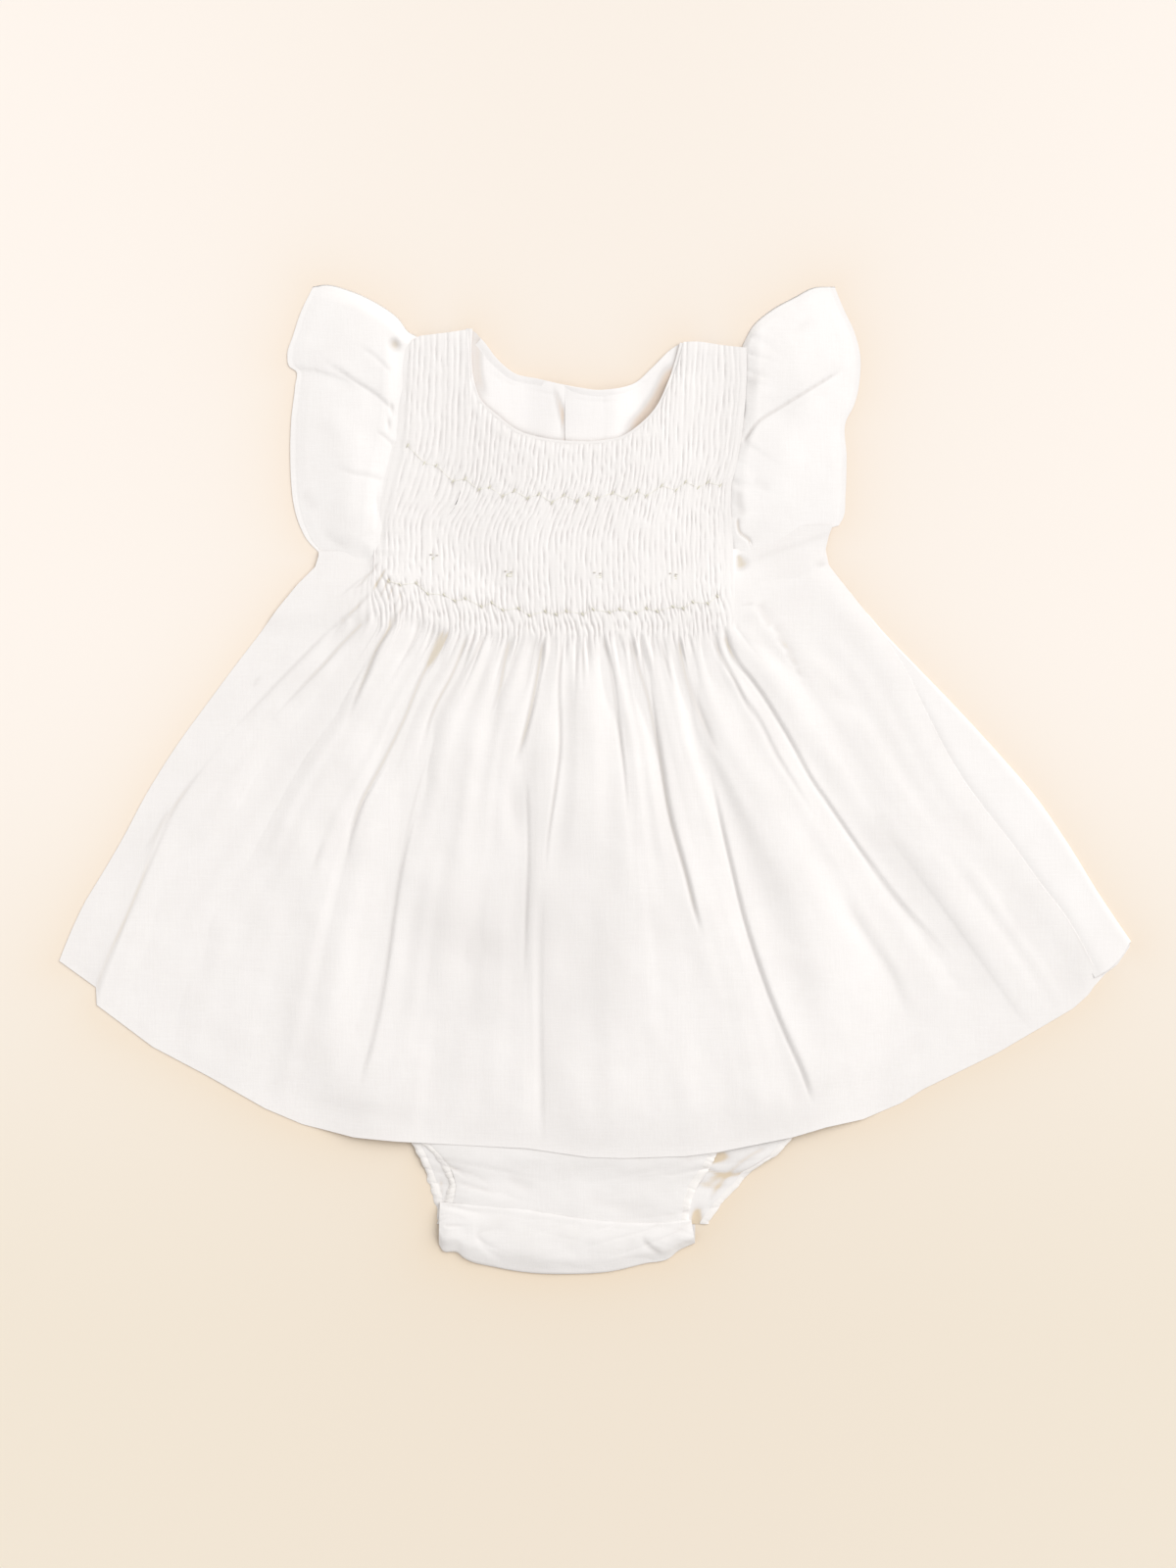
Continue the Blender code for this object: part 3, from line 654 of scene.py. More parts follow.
def weave_group() -> bpy.types.NodeTree:
    """The shared linen weave: thread relief, slubs and a slow tone.

    Height is the sum of crossing threads, long thin slubs in both directions and a soft crumple; Tone is a
    mask for colour that has both slow clouds and the streaks of the slubs.

    Returns:
        The group, made once.
    """
    known = bpy.data.node_groups.get("linen_weave")
    if known:
        return known
    group = bpy.data.node_groups.new("linen_weave", "ShaderNodeTree")
    face = group.interface
    face.new_socket("Vector", in_out="INPUT", socket_type="NodeSocketVector")
    for name, value in (("Threads", 1400), ("Thread Height", 0.1), ("Slub Height", 0.5),
                        ("Crumple Height", 0.6)):
        face.new_socket(name, in_out="INPUT", socket_type="NodeSocketFloat").default_value = value
    face.new_socket("Height", in_out="OUTPUT", socket_type="NodeSocketFloat")
    face.new_socket("Tone", in_out="OUTPUT", socket_type="NodeSocketFloat")
    nodes = Nodes(group)
    inside, outside = group.nodes.new("NodeGroupInput"), group.nodes.new("NodeGroupOutput")
    vector = inside.outputs["Vector"]
    height, streaks = 0, 0
    for number, (stretch, direction) in enumerate((((1, 0.09, 1), "X"), ((0.09, 1, 1), "Y"))):
        threads = nodes.add("ShaderNodeTexWave", bands_direction=direction, Vector=vector,
                            Scale=inside.outputs["Threads"], Distortion=1.5)
        place = nodes.add("ShaderNodeMapping", Vector=vector, Scale=stretch,
                          Location=(0.1 * number, 0.03, 0))
        slub = nodes.add("ShaderNodeTexNoise", Vector=place.outputs[0], Scale=900, Detail=2,
                         Roughness=0.6)
        height = nodes.plus(height, threads.outputs["Fac"], inside.outputs["Thread Height"])
        height = nodes.plus(height, slub.outputs["Fac"], inside.outputs["Slub Height"])
        streaks = nodes.plus(streaks, slub.outputs["Fac"], 0.22)
    crumple = nodes.add("ShaderNodeTexNoise", Vector=vector, Scale=170, Detail=3, Roughness=0.55)
    height = nodes.plus(height, crumple.outputs["Fac"], inside.outputs["Crumple Height"])
    clouds = nodes.add("ShaderNodeTexNoise", Vector=vector, Scale=36, Detail=4, Roughness=0.6)
    tone = nodes.plus(streaks, clouds.outputs["Fac"], 0.56)
    group.links.new(height, outside.inputs["Height"])
    group.links.new(tone, outside.inputs["Tone"])
    return group


@dataclass(frozen=True)
class Finish:
    """One finish: its colours and how its surface is worked.

    The colour changes to cloud in slow clouds.  Painted shade takes it to hollow in the slopes of a fold
    and to fold at its bottom.
    """

    name: str
    slot: str
    colour: Triple
    cloud: Triple
    # painted shade colours: hollow for the slopes of a fold, fold for its bottom
    hollow: Triple = (0.8, 0.768, 0.748)
    fold: Triple = (0.67, 0.605, 0.53)
    roughness: float = 0.9
    threads: float = 1400.0
    thread_height: float = 0.10
    slub_height: float = 0.5
    crumple_height: float = 0.6
    bump: float = 0.24

    def material(self) -> bpy.types.Material:
        """The material, made once: weave relief, a slow change of tone, painted warm shade in the folds.

        Returns:
            The material.
        """
        known = bpy.data.materials.get(self.name)
        if known:
            return known
        material = plain_material(self.name, self.roughness, 0.2)
        nodes = Nodes(material.node_tree)
        shader = material.node_tree.nodes["Principled BSDF"]
        place = nodes.add("ShaderNodeTexCoord")
        weave = nodes.add("ShaderNodeGroup", node_tree=weave_group())
        for socket, value in (("Threads", self.threads), ("Thread Height", self.thread_height),
                              ("Slub Height", self.slub_height), ("Crumple Height", self.crumple_height)):
            weave.inputs[socket].default_value = value
        nodes.put(place.outputs["Object"], weave.inputs["Vector"])
        bump = nodes.add("ShaderNodeBump", Strength=self.bump, Distance=0.0006,
                         Height=weave.outputs["Height"])
        tone = nodes.mixed(nodes.ranged(weave.outputs["Tone"], 0.4, 0.62), self.colour, self.cloud)
        # painted shade: the shade attribute takes the colour to hollow, then to fold
        shade = nodes.add("ShaderNodeAttribute", attribute_name="shade")
        soft = nodes.mixed(nodes.ranged(shade.outputs["Fac"], 0, 0.3), tone, self.hollow)
        deep = nodes.mixed(nodes.ranged(shade.outputs["Fac"], 0.2, 1), soft, self.fold)
        nodes.put(deep, shader.inputs["Base Color"])
        nodes.put(bump.outputs["Normal"], shader.inputs["Normal"])
        return material


# SLEEVE_LINEN and INSIDE_LINEN are lighter copies of the same linen, painted light, and BLOOMER_LINEN a
# darker copy, painted shade, for how the light falls on those pieces
LINEN = Finish("soft_linen", "washed_linen", (0.89, 0.86, 0.84), (0.868, 0.836, 0.815))
SLEEVE_LINEN = Finish("lit_linen", "washed_linen", (0.922, 0.894, 0.876), (0.902, 0.872, 0.852))
INSIDE_LINEN = Finish("inside_linen", "washed_linen", (0.935, 0.906, 0.89), (0.918, 0.889, 0.871),
                      fold=(0.76, 0.64, 0.54))
BLOOMER_LINEN = Finish("bloomer_linen", "washed_linen", (0.845, 0.818, 0.8), (0.825, 0.797, 0.776),
                       fold=(0.72, 0.6, 0.45))
LEG_LINEN = Finish("leg_linen", "binding_linen", (0.895, 0.862, 0.832), (0.875, 0.84, 0.808),
                   crumple_height=0.3)
SMOCKED = Finish("pleated_linen", "smocked_linen", (0.89, 0.86, 0.84), (0.868, 0.836, 0.815),
                 fold=(0.7, 0.63, 0.53))
BINDING = Finish("pressed_linen", "binding_linen", (0.892, 0.862, 0.842), (0.87, 0.838, 0.817),
                 crumple_height=0.3)
THREAD = Finish("smocking_thread", "smocked_linen", (0.88, 0.86, 0.78), (0.85, 0.83, 0.74), roughness=0.7)
KNOT = Finish("knot_thread", "smocked_linen", (0.74, 0.71, 0.66), (0.7, 0.67, 0.62), roughness=0.7)
OLIVE = Finish("loop_thread", "smocked_linen", (0.76, 0.74, 0.61), (0.72, 0.7, 0.57), roughness=0.7)
PEARL = Finish("pearl_shell", "button_pearl", (0.84, 0.82, 0.77), (0.78, 0.76, 0.71), roughness=0.25,
               thread_height=0, slub_height=0.1, crumple_height=0.3, bump=0.1)


# ---- form of the dress

LAYER = 1.35  # one layer of cloth with the gap over it
FIT = 0.15  # play below the front
CLOTH = 0.8  # from the front's underside to the middle of its relief
BUTTON_RISE = 1.5  # of the left back bodice over the buttons
WAIST_Y = 88

FRONT_NECK: Line = (
    (-63.3, 230.5), (-63.8, 217.5), (-62.7, 205), (-59.2, 194.5), (-50.3, 186), (-40.3, 178.5),
    (-27.3, 174.5), (-14.8, 173), (0.8, 173), (13.2, 175.5), (21.5, 181), (29.8, 189.5), (36.3, 202.5),
    (40.3, 214), (42.8, 223.5),
)
BACK_NECK_LEFT: Line = (
    (-63.3, 229.8), (-58.2, 225), (-50.3, 215), (-41.7, 208), (-30, 205.2), (-18, 202.3), (1, 199),
)
BACK_NECK_RIGHT: Line = (
    (-16, 201.7), (-8, 200), (4.3, 199.3), (19.7, 203), (28.7, 211), (38.7, 220.5), (42.8, 223),
)
ARMHOLE_LEFT: Line = (
    (-98, 221), (-100.8, 205), (-102.7, 184.5), (-104, 174), (-109.5, 153), (-111.7, 137), (-112.6, 124),
    (-114.5, 114.5),
)
ARMHOLE_RIGHT: Line = (
    (76.5, 220.8), (75.8, 203), (75, 185), (74.3, 172), (69.7, 161), (68.7, 146), (69.2, 132), (70.5, 122),
)
LEFT_EDGE: Line = (
    (-142, 114.7), (-143.7, 109), (-152.6, 100.2), (-162.6, 88), (-171.3, 76), (-185, 58), (-199.8, 38),
    (-212.6, 20.5), (-232.8, -12), (-240.6, -27), (-249.2, -42), (-255.2, -52), (-261.3, -62),
    (-266.2, -72), (-270.6, -82), (-274.7, -92.5),
)
RIGHT_SEAM: Line = (
    (121.2, 131), (119, 125.5), (117.2, 118), (118.9, 109.8), (125.2, 101.7), (136.4, 87.7), (147, 74),
    (156, 60), (168, 36), (182.3, 8.5), (197.8, -14), (212.8, -33), (226.3, -52), (239.8, -69.5),
    (257.3, -101),
)
RIGHT_EDGE: Line = (
    (121.5, 131), (119.4, 125), (117.6, 118), (119.3, 109.8), (125.8, 101.7), (136.7, 87.7), (147.9, 74.6),
    (160.5, 61.5), (186.5, 34.5), (208, 11), (224.3, -8), (241.6, -33), (257, -58), (269, -76),
    (273.8, -83),
)
HEM: Line = (
    (-274.7, -92.5), (-255.9, -106), (-255.5, -115), (-226.8, -136.5), (-198.3, -151.5), (-169.3, -168),
    (-150.3, -176), (-123.8, -182.5), (-102.3, -184.5), (-73.8, -186), (-35.3, -188), (-4.3, -192.5),
    (14.3, -193), (45.8, -192), (61.8, -190), (100.3, -182.3), (117.3, -177.3), (136.3, -173.4),
    (155.8, -165.2), (167.3, -158), (205.3, -139.4), (243.8, -116.8), (252, -109.4), (257.3, -101),
)

# Bloomer outline: y, left and right edge of the front, left and right of the back
BLOOMER = (
    (84, -100, 58, -100, 58), (20, -108, 76, -108, 76), (-50, -116, 92, -116, 92),
    (-110, -122, 104, -122, 104), (-148, -124, 108, -125, 116), (-170, -108, 84, -112, 108),
    (-184, -91, 66.5, -95, 99.5), (-192, -83, 61.5, -90.5, 92), (-200, -77.5, 56.5, -87.5, 79),
    (-207, -75.5, 51.5, -85, 73.5), (-215, -77, 48.5, -82.5, 65), (-226, -79, 47.5, -81, 57.5),
)


def bloomer_edge(edge: LegEdge, y: Array) -> Array:
    """x of one of the bloomer's side edges at y."""
    table = np.array(BLOOMER)[::-1]
    return np.interp(y, table[:, 0], table[:, edge.column])


def closure_rise(x: Array, height: float, wider: float = 0.0) -> Array:
    """How far cloth rises over the back buttons: a plateau with gentle shoulders."""
    return height * ramp(x + wider, -38, 18) * ramp(x - wider, 24, -16)


def front_base(x: Array, y: Array) -> Array:
    """Underside of the front over what lies below it.

    Over the plain back it is flat.  Plateaus with gentle slopes rise over the lapped closure and its
    buttons, over the bloomer and over the neck's facings, and the highest counts.

    Args:
        x, y: the places.

    Returns:
        Heights.
    """
    low = LAYER + FIT
    closure = 2.7 * ramp(x, -84, 54) * ramp(x, 66, -50) * ramp(y, 208, -6) * ramp(y, 50, 40)
    from_left = ramp(x - bloomer_edge(LegEdge.FRONT_LEFT, y), -62, 58)
    from_right = ramp(x - bloomer_edge(LegEdge.BACK_RIGHT, y), 62, -58)
    bloomer = (3 * LAYER + 0.25 - low) * (from_left * from_right) * ramp(y, 126, -44)
    neck = 0.2 * ramp(y, 178, 14) * ramp(x, -84, 12) * ramp(x, 60, -12)
    return low + np.maximum(np.maximum(closure, bloomer), neck)


# ---- front


@dataclass
class Smocking:
    """Fine pleats held by rows of stitches, from the neck to the release.

    A column number runs across the front: even numbers are pleat tops, odd numbers the valleys between
    them.

    Attributes:
        pleats: how many there are.
        height: from valley to pleat top.
        rows: level, dot spacing in columns, half swing of the dots and strength.
    """

    pleats: int = 68
    height: float = 0.8
    seed: int = 11
    rows: Rows = ((1, 5, 1.7, 1), (4, 4.8, 1.2, 1), (4.55, 5.2, 0.8, 0.45), (0.55, 9, 2, 0.35))

    def dots(self, spacing: float, number: int) -> Pair:
        """Where a row's stitches lie, each in the valley nearest to its turn.

        Args:
            spacing: columns from dot to dot.
            number: the row's number, for its random draws.

        Returns:
            Columns of the dots, and their swing up or down.
        """
        count = int(2 * self.pleats / spacing) - 1
        order = np.arange(count)
        rng = np.random.default_rng(self.seed + 50 + number)
        columns = 2 * np.round((order + 0.8) * spacing / 2 + rng.uniform(-0.2, 0.2, count)) + 1
        return columns, np.where(order % 2 == 0, 1, -1) + rng.uniform(-0.5, 0.5, count)

    def relief(self, column: Array, y: Array, level_y: dict[float, Array]) -> Pair:
        """Height and shade of the pleats.

        A pleat's height is |cos| of its phase.  The phase wanders from side to side down the pleat,
        neighbours lean alike around the rows, and each stitch draws the pleats beside it together over a
        dimple with a dot of painted shade.  Painted shade also lies along the valleys in broken strokes.

        Args:
            column: column numbers.
            y: heights on the dress.
            level_y: y of each stitched row at the same points, by level.

        Returns:
            Relief and shade.
        """
        pleat = column / 2
        first, last = level_y[1], level_y[4]
        wander = Crumple(self.seed, 4.5, 12, 0.22).at(pleat, y)
        wander += Crumple(self.seed + 1, 1.6, 4.4, 0.17).at(pleat, y)
        phase = column + 2 * wander - 1.3 * np.tanh((y - first) / 6) + 1.2 * np.tanh((y - last + 3) / 5)
        dimple, dark = np.zeros_like(y), np.zeros_like(y)
        for number, (level, spacing, swing, strength) in enumerate(self.rows):
            stitch_columns, swings = self.dots(spacing, number)
            nearest = np.abs(column[..., None] - stitch_columns).argmin(-1)
            over, up = column - stitch_columns[nearest], y - level_y[level] - swing * swings[nearest]
            pull = np.exp(-((over / 2.4) ** 2) - (up / 3.4) ** 2) * strength
            phase = phase + 0.65 * over * pull
            dot = np.exp(-((over / 0.9) ** 2) - (up / 1.2) ** 2) * strength
            dimple, dark = dimple + dot, dark + 0.42 * dot
        stroke = 0.42 + 0.85 * Crumple(self.seed + 2, 0.75, 3, 1).at(pleat, y + 2.3 * pleat)
        lower = ramp(y, last + 7, -6)
        stroke = np.clip(stroke + 0.3 * lower + 0.18 * bell(y - first, 6), 0.06, 1.1)
        top = np.abs(np.cos(math.pi / 2 * phase))
        height = self.height * (1 - stroke * (1 - top**0.6)) - 0.5 * dimple
        return height, (0.25 + 0.17 * lower) * stroke * (1 - top) ** 1.9 + dark


@dataclass
class Front:
    """The front in one cut: smocked yoke, plain underarms and pleated skirt.

    Columns are numbered as in the smocking, and row_counts are mesh rows between level lines.  Building
    it makes the last four fields: column numbers, y of each stitched row, and x and y of release and
    yoke.
    """

    smocking: Smocking = field(default_factory=Smocking)
    neck_columns: tuple[int, int] = (24, 112)
    side_columns: tuple[int, int] = (-20, 160)
    finest: float = 0.25
    row_counts: tuple[int, ...] = (26, 14, 11, 16, 14)
    skirt_rows: int = 74
    skirt_length: float = 265.0
    neck_seam: float = 1.6
    shoulder_left: Line = ((-99, 219.5), (-95.3, 223), (-91.5, 226.2), (-84, 227.6), (-76, 228.6),
                           (-65.2, 230.2))
    shoulder_right: Line = ((44.6, 223.8), (52, 223.9), (64, 222.2), (76.5, 220.8))
    # Level lines: x at the left armhole, left and right of the neck and right armhole; then y along x
    levels: tuple[tuple, ...] = (
        (-103.9, -68.5, 42, 69.1, ((-104, 174.5), (-89, 164), (-76, 156.5), (-63, 150), (-50, 147.5),
                                     (-33, 145), (-15, 143.5), (6, 145), (26, 146), (39, 149), (69.1, 152))),
        (-111.8, -78, 40, 69.2, ((-112, 136), (-60, 128), (-15, 125), (69.5, 132))),
        (-113.4, -79, 40, 70, ((-113, 115.5), (-84, 114), (-45, 106), (0, 105), (40, 105), (56, 107),
                                     (70, 118))),
        (-113, -79, 40.5, 70.5, ((-113, 99), (-97, 101), (-82, 94), (-63, 91), (-42, 86.5), (14, 86.5),
                                     (40, 87.5), (57, 91.5), (70, 94))),
        (-111.8, -79, 40.5, 70.8, ((-112, 85), (-100, 84), (-75, 77), (-58, 74.5), (20, 73), (58, 75),
                                     (70, 80))),
    )
    # Where the three lowest level lines meet the side edges, and how the columns bunch on the way
    side_ys: Rows = ((117, 130.5), (101, 103), (84, 80))
    bunching: tuple[float, ...] = (2.2, 1.6, 1.15)
    # Lines that the skirt's columns follow, by column number, from the release to the hem
    guides: tuple[tuple[float, Line], ...] = (
        (-16, ((-163.5, 78), (-174, 53), (-189, 23), (-207, -2), (-219, -18), (-237, -63.5), (-255.9, -107))),
        (-15.9, ((-163, 78), (-173.6, 53), (-188.6, 23), (-206.6, -2), (-218.6, -18), (-236.6, -63.5),
                 (-255.5, -115))),
        (0, ((-111.8, 78), (-135, 41.5), (-162, 3.5), (-181, -32), (-200, -54), (-212, -79), (-229, -135))),
        (28, ((-74.8, 75), (-81, 61), (-93, 38), (-104, 9), (-116, -12), (-124, -29), (-129, -50),
              (-152, -175))),
        (36, ((-64, 74), (-72, 53), (-83, 32), (-91, -8), (-97, -31), (-103, -56), (-112, -114), (-118, -138),
              (-127, -182))),
        (52, ((-43.3, 73.5), (-47, 59), (-58, 0), (-68, -80), (-77, -186))),
        (64, ((-26.8, 73), (-29, 49.5), (-34, 30), (-36.5, 13), (-35, -37), (-38, -71), (-37, -109.5),
              (-37, -188))),
        (72, ((-16, 73), (-17.5, 20.5), (-19, -8), (-23, -37), (-25, -56), (-26, -189))),
        (84, ((2.8, 73), (7, 47.5), (11.5, 24.5), (13.5, -2.5), (14.5, -23.5), (21, -193))),
        (98, ((21.5, 73), (26.5, 40), (30.5, 17), (35.5, -12), (41, -37), (47.5, -59.5), (55.5, -86.5),
              (71, -188))),
        (111, ((38, 75), (44.5, 49.5), (52.5, 15), (60, -4), (68, -29), (73.5, -50), (81, -75), (91, -103.5),
               (98, -128.5), (108, -157.5), (115, -177))),
        (117, ((46, 77), (52.5, 40), (58.5, 22.5), (67, 7), (84, -25), (112, -80), (137, -172))),
        (132, ((65.8, 78), (71.5, 61), (79.5, 53), (89, 40), (98.5, 22.5), (110, 7), (121.5, -12),
               (140.5, -40.5), (152, -58), (163.5, -73), (173, -86.5), (181, -98), (201, -139.5))),
        (136, ((71, 78), (82, 64), (95, 49), (108, 31), (122, 12), (142, -18), (178, -66), (222, -127))),
    )
    # Valleys between flutes: column, depth, half width in columns, share of the length they live
    valleys: Rows = ((-16, 0.6, 2, 1.4), (-7, 0.8, 3, 0.5), (0, 1.2, 4, 0.8), (14, 1.2, 4.5, 0.5),
                      (28, 1.9, 3.4, 0.75), (36, 1.8, 2.6, 1.25), (44, 1.3, 2.2, 0.35),
                      (52, 1.7, 3.2, 0.45), (58, 1, 2.2, 0.22), (64, 1.9, 3.4, 0.85), (72, 1.6, 3.2, 0.55),
                      (78, 0.9, 2.4, 0.22), (84, 1.7, 3.4, 0.5), (91, 1, 2.4, 0.25), (98, 2.1, 3.8, 0.9),
                      (104.5, 1.1, 2.4, 0.25), (111, 1.9, 3.6, 1.3), (117, 1.6, 2.8, 0.4),
                      (124, 1.1, 3.2, 0.35), (132, 1.8, 4, 0.85), (139, 1, 3, 0.45), (148, 0.6, 4, 0.9))
    folds: Folds = ()
    columns: Array = field(init=False)
    row_ys: dict[float, Array] = field(init=False)
    release: Pair = field(init=False)
    plan: Pair = field(init=False)

    def column_numbers(self) -> Array:
        """Column numbers, close together where the tuck and the pleats are."""
        low, high = self.side_columns
        left = np.r_[np.linspace(low, -17, 7), -16.6, -16.3, -16.1, -16, -15.9, -15.75, -15.5, -15,
                     np.arange(-14.5, -12, 0.5), np.arange(-12, 0, 0.34)]
        fine = np.arange(0, 2 * self.smocking.pleats + self.finest / 2, self.finest)
        return np.r_[left, fine, fine[-1] + 0.5, np.arange(fine[-1] + 1, high + 0.5, 1)]

    def yoke(self) -> tuple[Array, Array, Array]:
        """The smocked rows.

        Each column passes through its place on the shoulder or neck edge and on five level lines; rows lie
        between them at even shares.

        Returns:
            x and y of every point, and the mask of those that exist.
        """
        columns, last = self.columns, 2 * self.smocking.pleats
        inner = np.clip(columns, 0, last)
        top_x, top_y = self._top_edge(inner)
        xs, ys = [top_x], [top_y]
        for *x_knots, profile in self.levels:
            x = np.interp(inner, (0, *self.neck_columns, last), x_knots)
            xs.append(x)
            ys.append(hermite(*np.array(profile, float).T, x))
        self._reach_sides(xs, ys)
        numbers = np.arange(float(len(xs)))
        steps = np.concatenate([n + np.arange(count) / count for n, count in enumerate(self.row_counts)])
        x, y = hermite(numbers, np.array(xs), steps), hermite(numbers, np.array(ys), steps)
        self._meet_sides(steps, x, y)
        first = np.clip(steps, 0, 1)
        x = x + (4 * first * (1 - first))[:, None] * 2.8 * ramp(columns, 116, 16)
        self.row_ys = {level: hermite(numbers, np.array(ys), np.full(1, float(level)))
                       for level, *_ in self.smocking.rows}
        self.release, self.plan = (xs[-1], ys[-1]), (x, y)
        return x, y, (steps >= 3)[:, None] | ((columns >= 0) & (columns <= last))

    def _top_edge(self, inner: Array) -> Pair:
        """Where the columns start: left shoulder, neck at even steps of x, right shoulder.

        Args:
            inner: column numbers, none beyond the smocking.

        Returns:
            x and y.
        """
        first, final = self.neck_columns
        edge = beside(FRONT_NECK, self.neck_seam)
        edge[:, 0] = np.maximum.accumulate(edge[:, 0])
        x = edge[0, 0] + 0.3 + (inner - first) / (final - first) * (edge[-1, 0] - edge[0, 0] - 0.6)
        y = np.interp(x, edge[:, 0], edge[:, 1])
        for line, start, end in ((self.shoulder_left, 0, first),
                                 (self.shoulder_right, final, 2 * self.smocking.pleats)):
            on = (inner >= start) & (inner <= end)
            x[on], y[on] = curve(line, (inner[on] - start) / (end - start)).T
        return x, y

    def _sides(self) -> tuple[tuple[Array, Array, int, int], ...]:
        """For each side: its edge from the bottom up, the columns' shares of the way out to it,
        the last inner column and the place of the outermost one."""
        last, (low, high) = 2 * self.smocking.pleats, self.side_columns
        return ((np.array(LEFT_EDGE)[::-1], np.clip(self.columns / low, 0, 1), 0, 0),
                (np.array(RIGHT_SEAM)[::-1], np.clip((self.columns - last) / (high - last), 0, 1), last, -1))

    def _reach_sides(self, xs: list[Array], ys: list[Array]) -> None:
        """Carry the outer columns of the three lowest level lines out to the side edges.

        Args:
            xs, ys: level lines, from the top edge down, changed in place.
        """
        for level, side_ys, bunch in zip((3, 4, 5), self.side_ys, self.bunching):
            for (edge, share, _, end), edge_y in zip(self._sides(), side_ys):
                share = share**bunch
                edge_x = np.interp(edge_y, edge[:, 1], edge[:, 0])
                xs[level] = xs[level] + (edge_x - xs[level][end]) * share
                ys[level] = ys[level] + (edge_y - ys[level][end]) * smooth(share * 1.4)

    def _meet_sides(self, steps: Array, x: Array, y: Array) -> None:
        """Stretch the outer columns from the third level line down so that the rows end on the edges.

        Args:
            steps: where each row lies between the level lines.
            x, y: the yoke; x is changed in place.
        """
        rows = steps >= 3
        for edge, share, column, end in self._sides():
            start = x[rows, int(np.abs(self.columns - column).argmin())]
            scale = (np.interp(y[rows, end], edge[:, 1], edge[:, 0]) - start) / (x[rows, end] - start)
            part = np.ix_(rows, share > 0)
            x[part] = start[:, None] + (x[part] - start[:, None]) * scale[:, None]

    def skirt(self) -> Pair:
        """The rows of the skirt, at even shares of the way from the release to the hem.

        Returns:
            x and y of every point.
        """
        release_x, release_y = self.release
        shares = even(self.skirt_rows + 1)
        low, high = self.side_columns
        lines = [(low, LEFT_EDGE), *self.guides, (high, RIGHT_SEAM)]
        at_share = []
        for number, points in lines:
            path = curve(points, even(60))
            top = np.interp(number, self.columns, release_y)
            wanted = top + (path[-1, 1] - top) * shares
            at_share.append(np.interp(-wanted, -path[:, 1], path[:, 0]))
        numbers = [number for number, _ in lines]
        x = np.array([np.interp(self.columns, numbers, places) for places in np.array(at_share).T])
        blend = smooth(shares * 6)[:, None]
        x = x * blend + (release_x + (x - x[0])) * (1 - blend)
        hem_y = np.interp(x[-1], *np.array(HEM).T)
        return x, release_y + (hem_y - release_y) * shares[:, None]

    def spot(self, column: float, y: float) -> Triple:
        """x, y and z of the place on top of the smocking in a column, at y."""
        x_grid, y_grid = self.plan
        nearest = int(np.abs(self.columns - column).argmin())
        x = float(np.interp(-y, -y_grid[:, nearest], x_grid[:, nearest]))
        return x, y, float(front_base(np.array(x), np.array(y))) + CLOTH + 0.97 * self.smocking.height

    def build(self) -> Item:
        """Make the sheet: plan, then heights.

        Returns:
            The sheet.
        """
        self.columns = self.column_numbers()
        yoke_x, yoke_y, yoke_shown = self.yoke()
        skirt_x, skirt_y = self.skirt()
        x, y = np.vstack([yoke_x, skirt_x]), np.vstack([yoke_y, skirt_y])
        shown = np.vstack([yoke_shown, np.ones_like(skirt_x, bool)])
        column = np.broadcast_to(self.columns, x.shape)
        cloth = Cloth(x, y, front_base(x, y) + CLOTH)
        self._pleats(cloth, column)
        self._skirt_relief(cloth, column, np.clip((self.release[1] - y) / self.skirt_length, 0, 1))
        self._settle(cloth, column)
        grid = rolled(rolled(rolled(cloth.grid(), Rim.BOTTOM, 0.4), Rim.LEFT, 0.4), Rim.RIGHT, 0.3)
        grid[..., 2] = np.maximum(grid[..., 2], 0.03)
        shown = np.pad(shown, ((0, 4), (4, 4)), mode="edge")
        return sheet_object("front_cloth", grid, SMOCKED, shown)

    def _pleats(self, cloth: Cloth, column: Array) -> None:
        """Smocking relief, fading below the release over an uneven length.

        Args:
            cloth: the sheet, changed in place.
            column: column number of every point.
        """
        last = 2 * self.smocking.pleats
        relief, shade = self.smocking.relief(column, cloth.y, self.row_ys)
        run = 5 + 26 * np.abs(Crumple(5, 1.1, 500, 1).at(column / 2, cloth.y)) ** 1.6
        fade = 1 - smooth((self.release[1] + 3 - cloth.y) / run)
        inside = ramp(column, -13, 14) * ramp(column, last + 1.5, -9)
        flat_edge = 1 - 0.85 * ramp(column, 5, -3) * ramp(cloth.y, 114, 10)
        pressed = 0.5 + 0.5 * smooth((cloth.y[0] - cloth.y) / 4)
        # The armhole edges stand up, more so at the right shoulder and less at the left one
        raised = ramp(column, last - 8, 8) * ramp(column, last + 14, -14)
        raised += ramp(column, 8, -8) * ramp(column, -14, 14)
        right_half = ramp(cloth.x, 0, 40)
        lifted = right_half * (0.15 + 0.6 * ramp(cloth.y, 124, 14))
        lifted += (1 - right_half) * (0.15 - 0.55 * ramp(cloth.y, 140, -18))
        cloth.z += relief * fade * inside * flat_edge * pressed + lifted * raised
        cloth.shade += shade * fade * inside * flat_edge

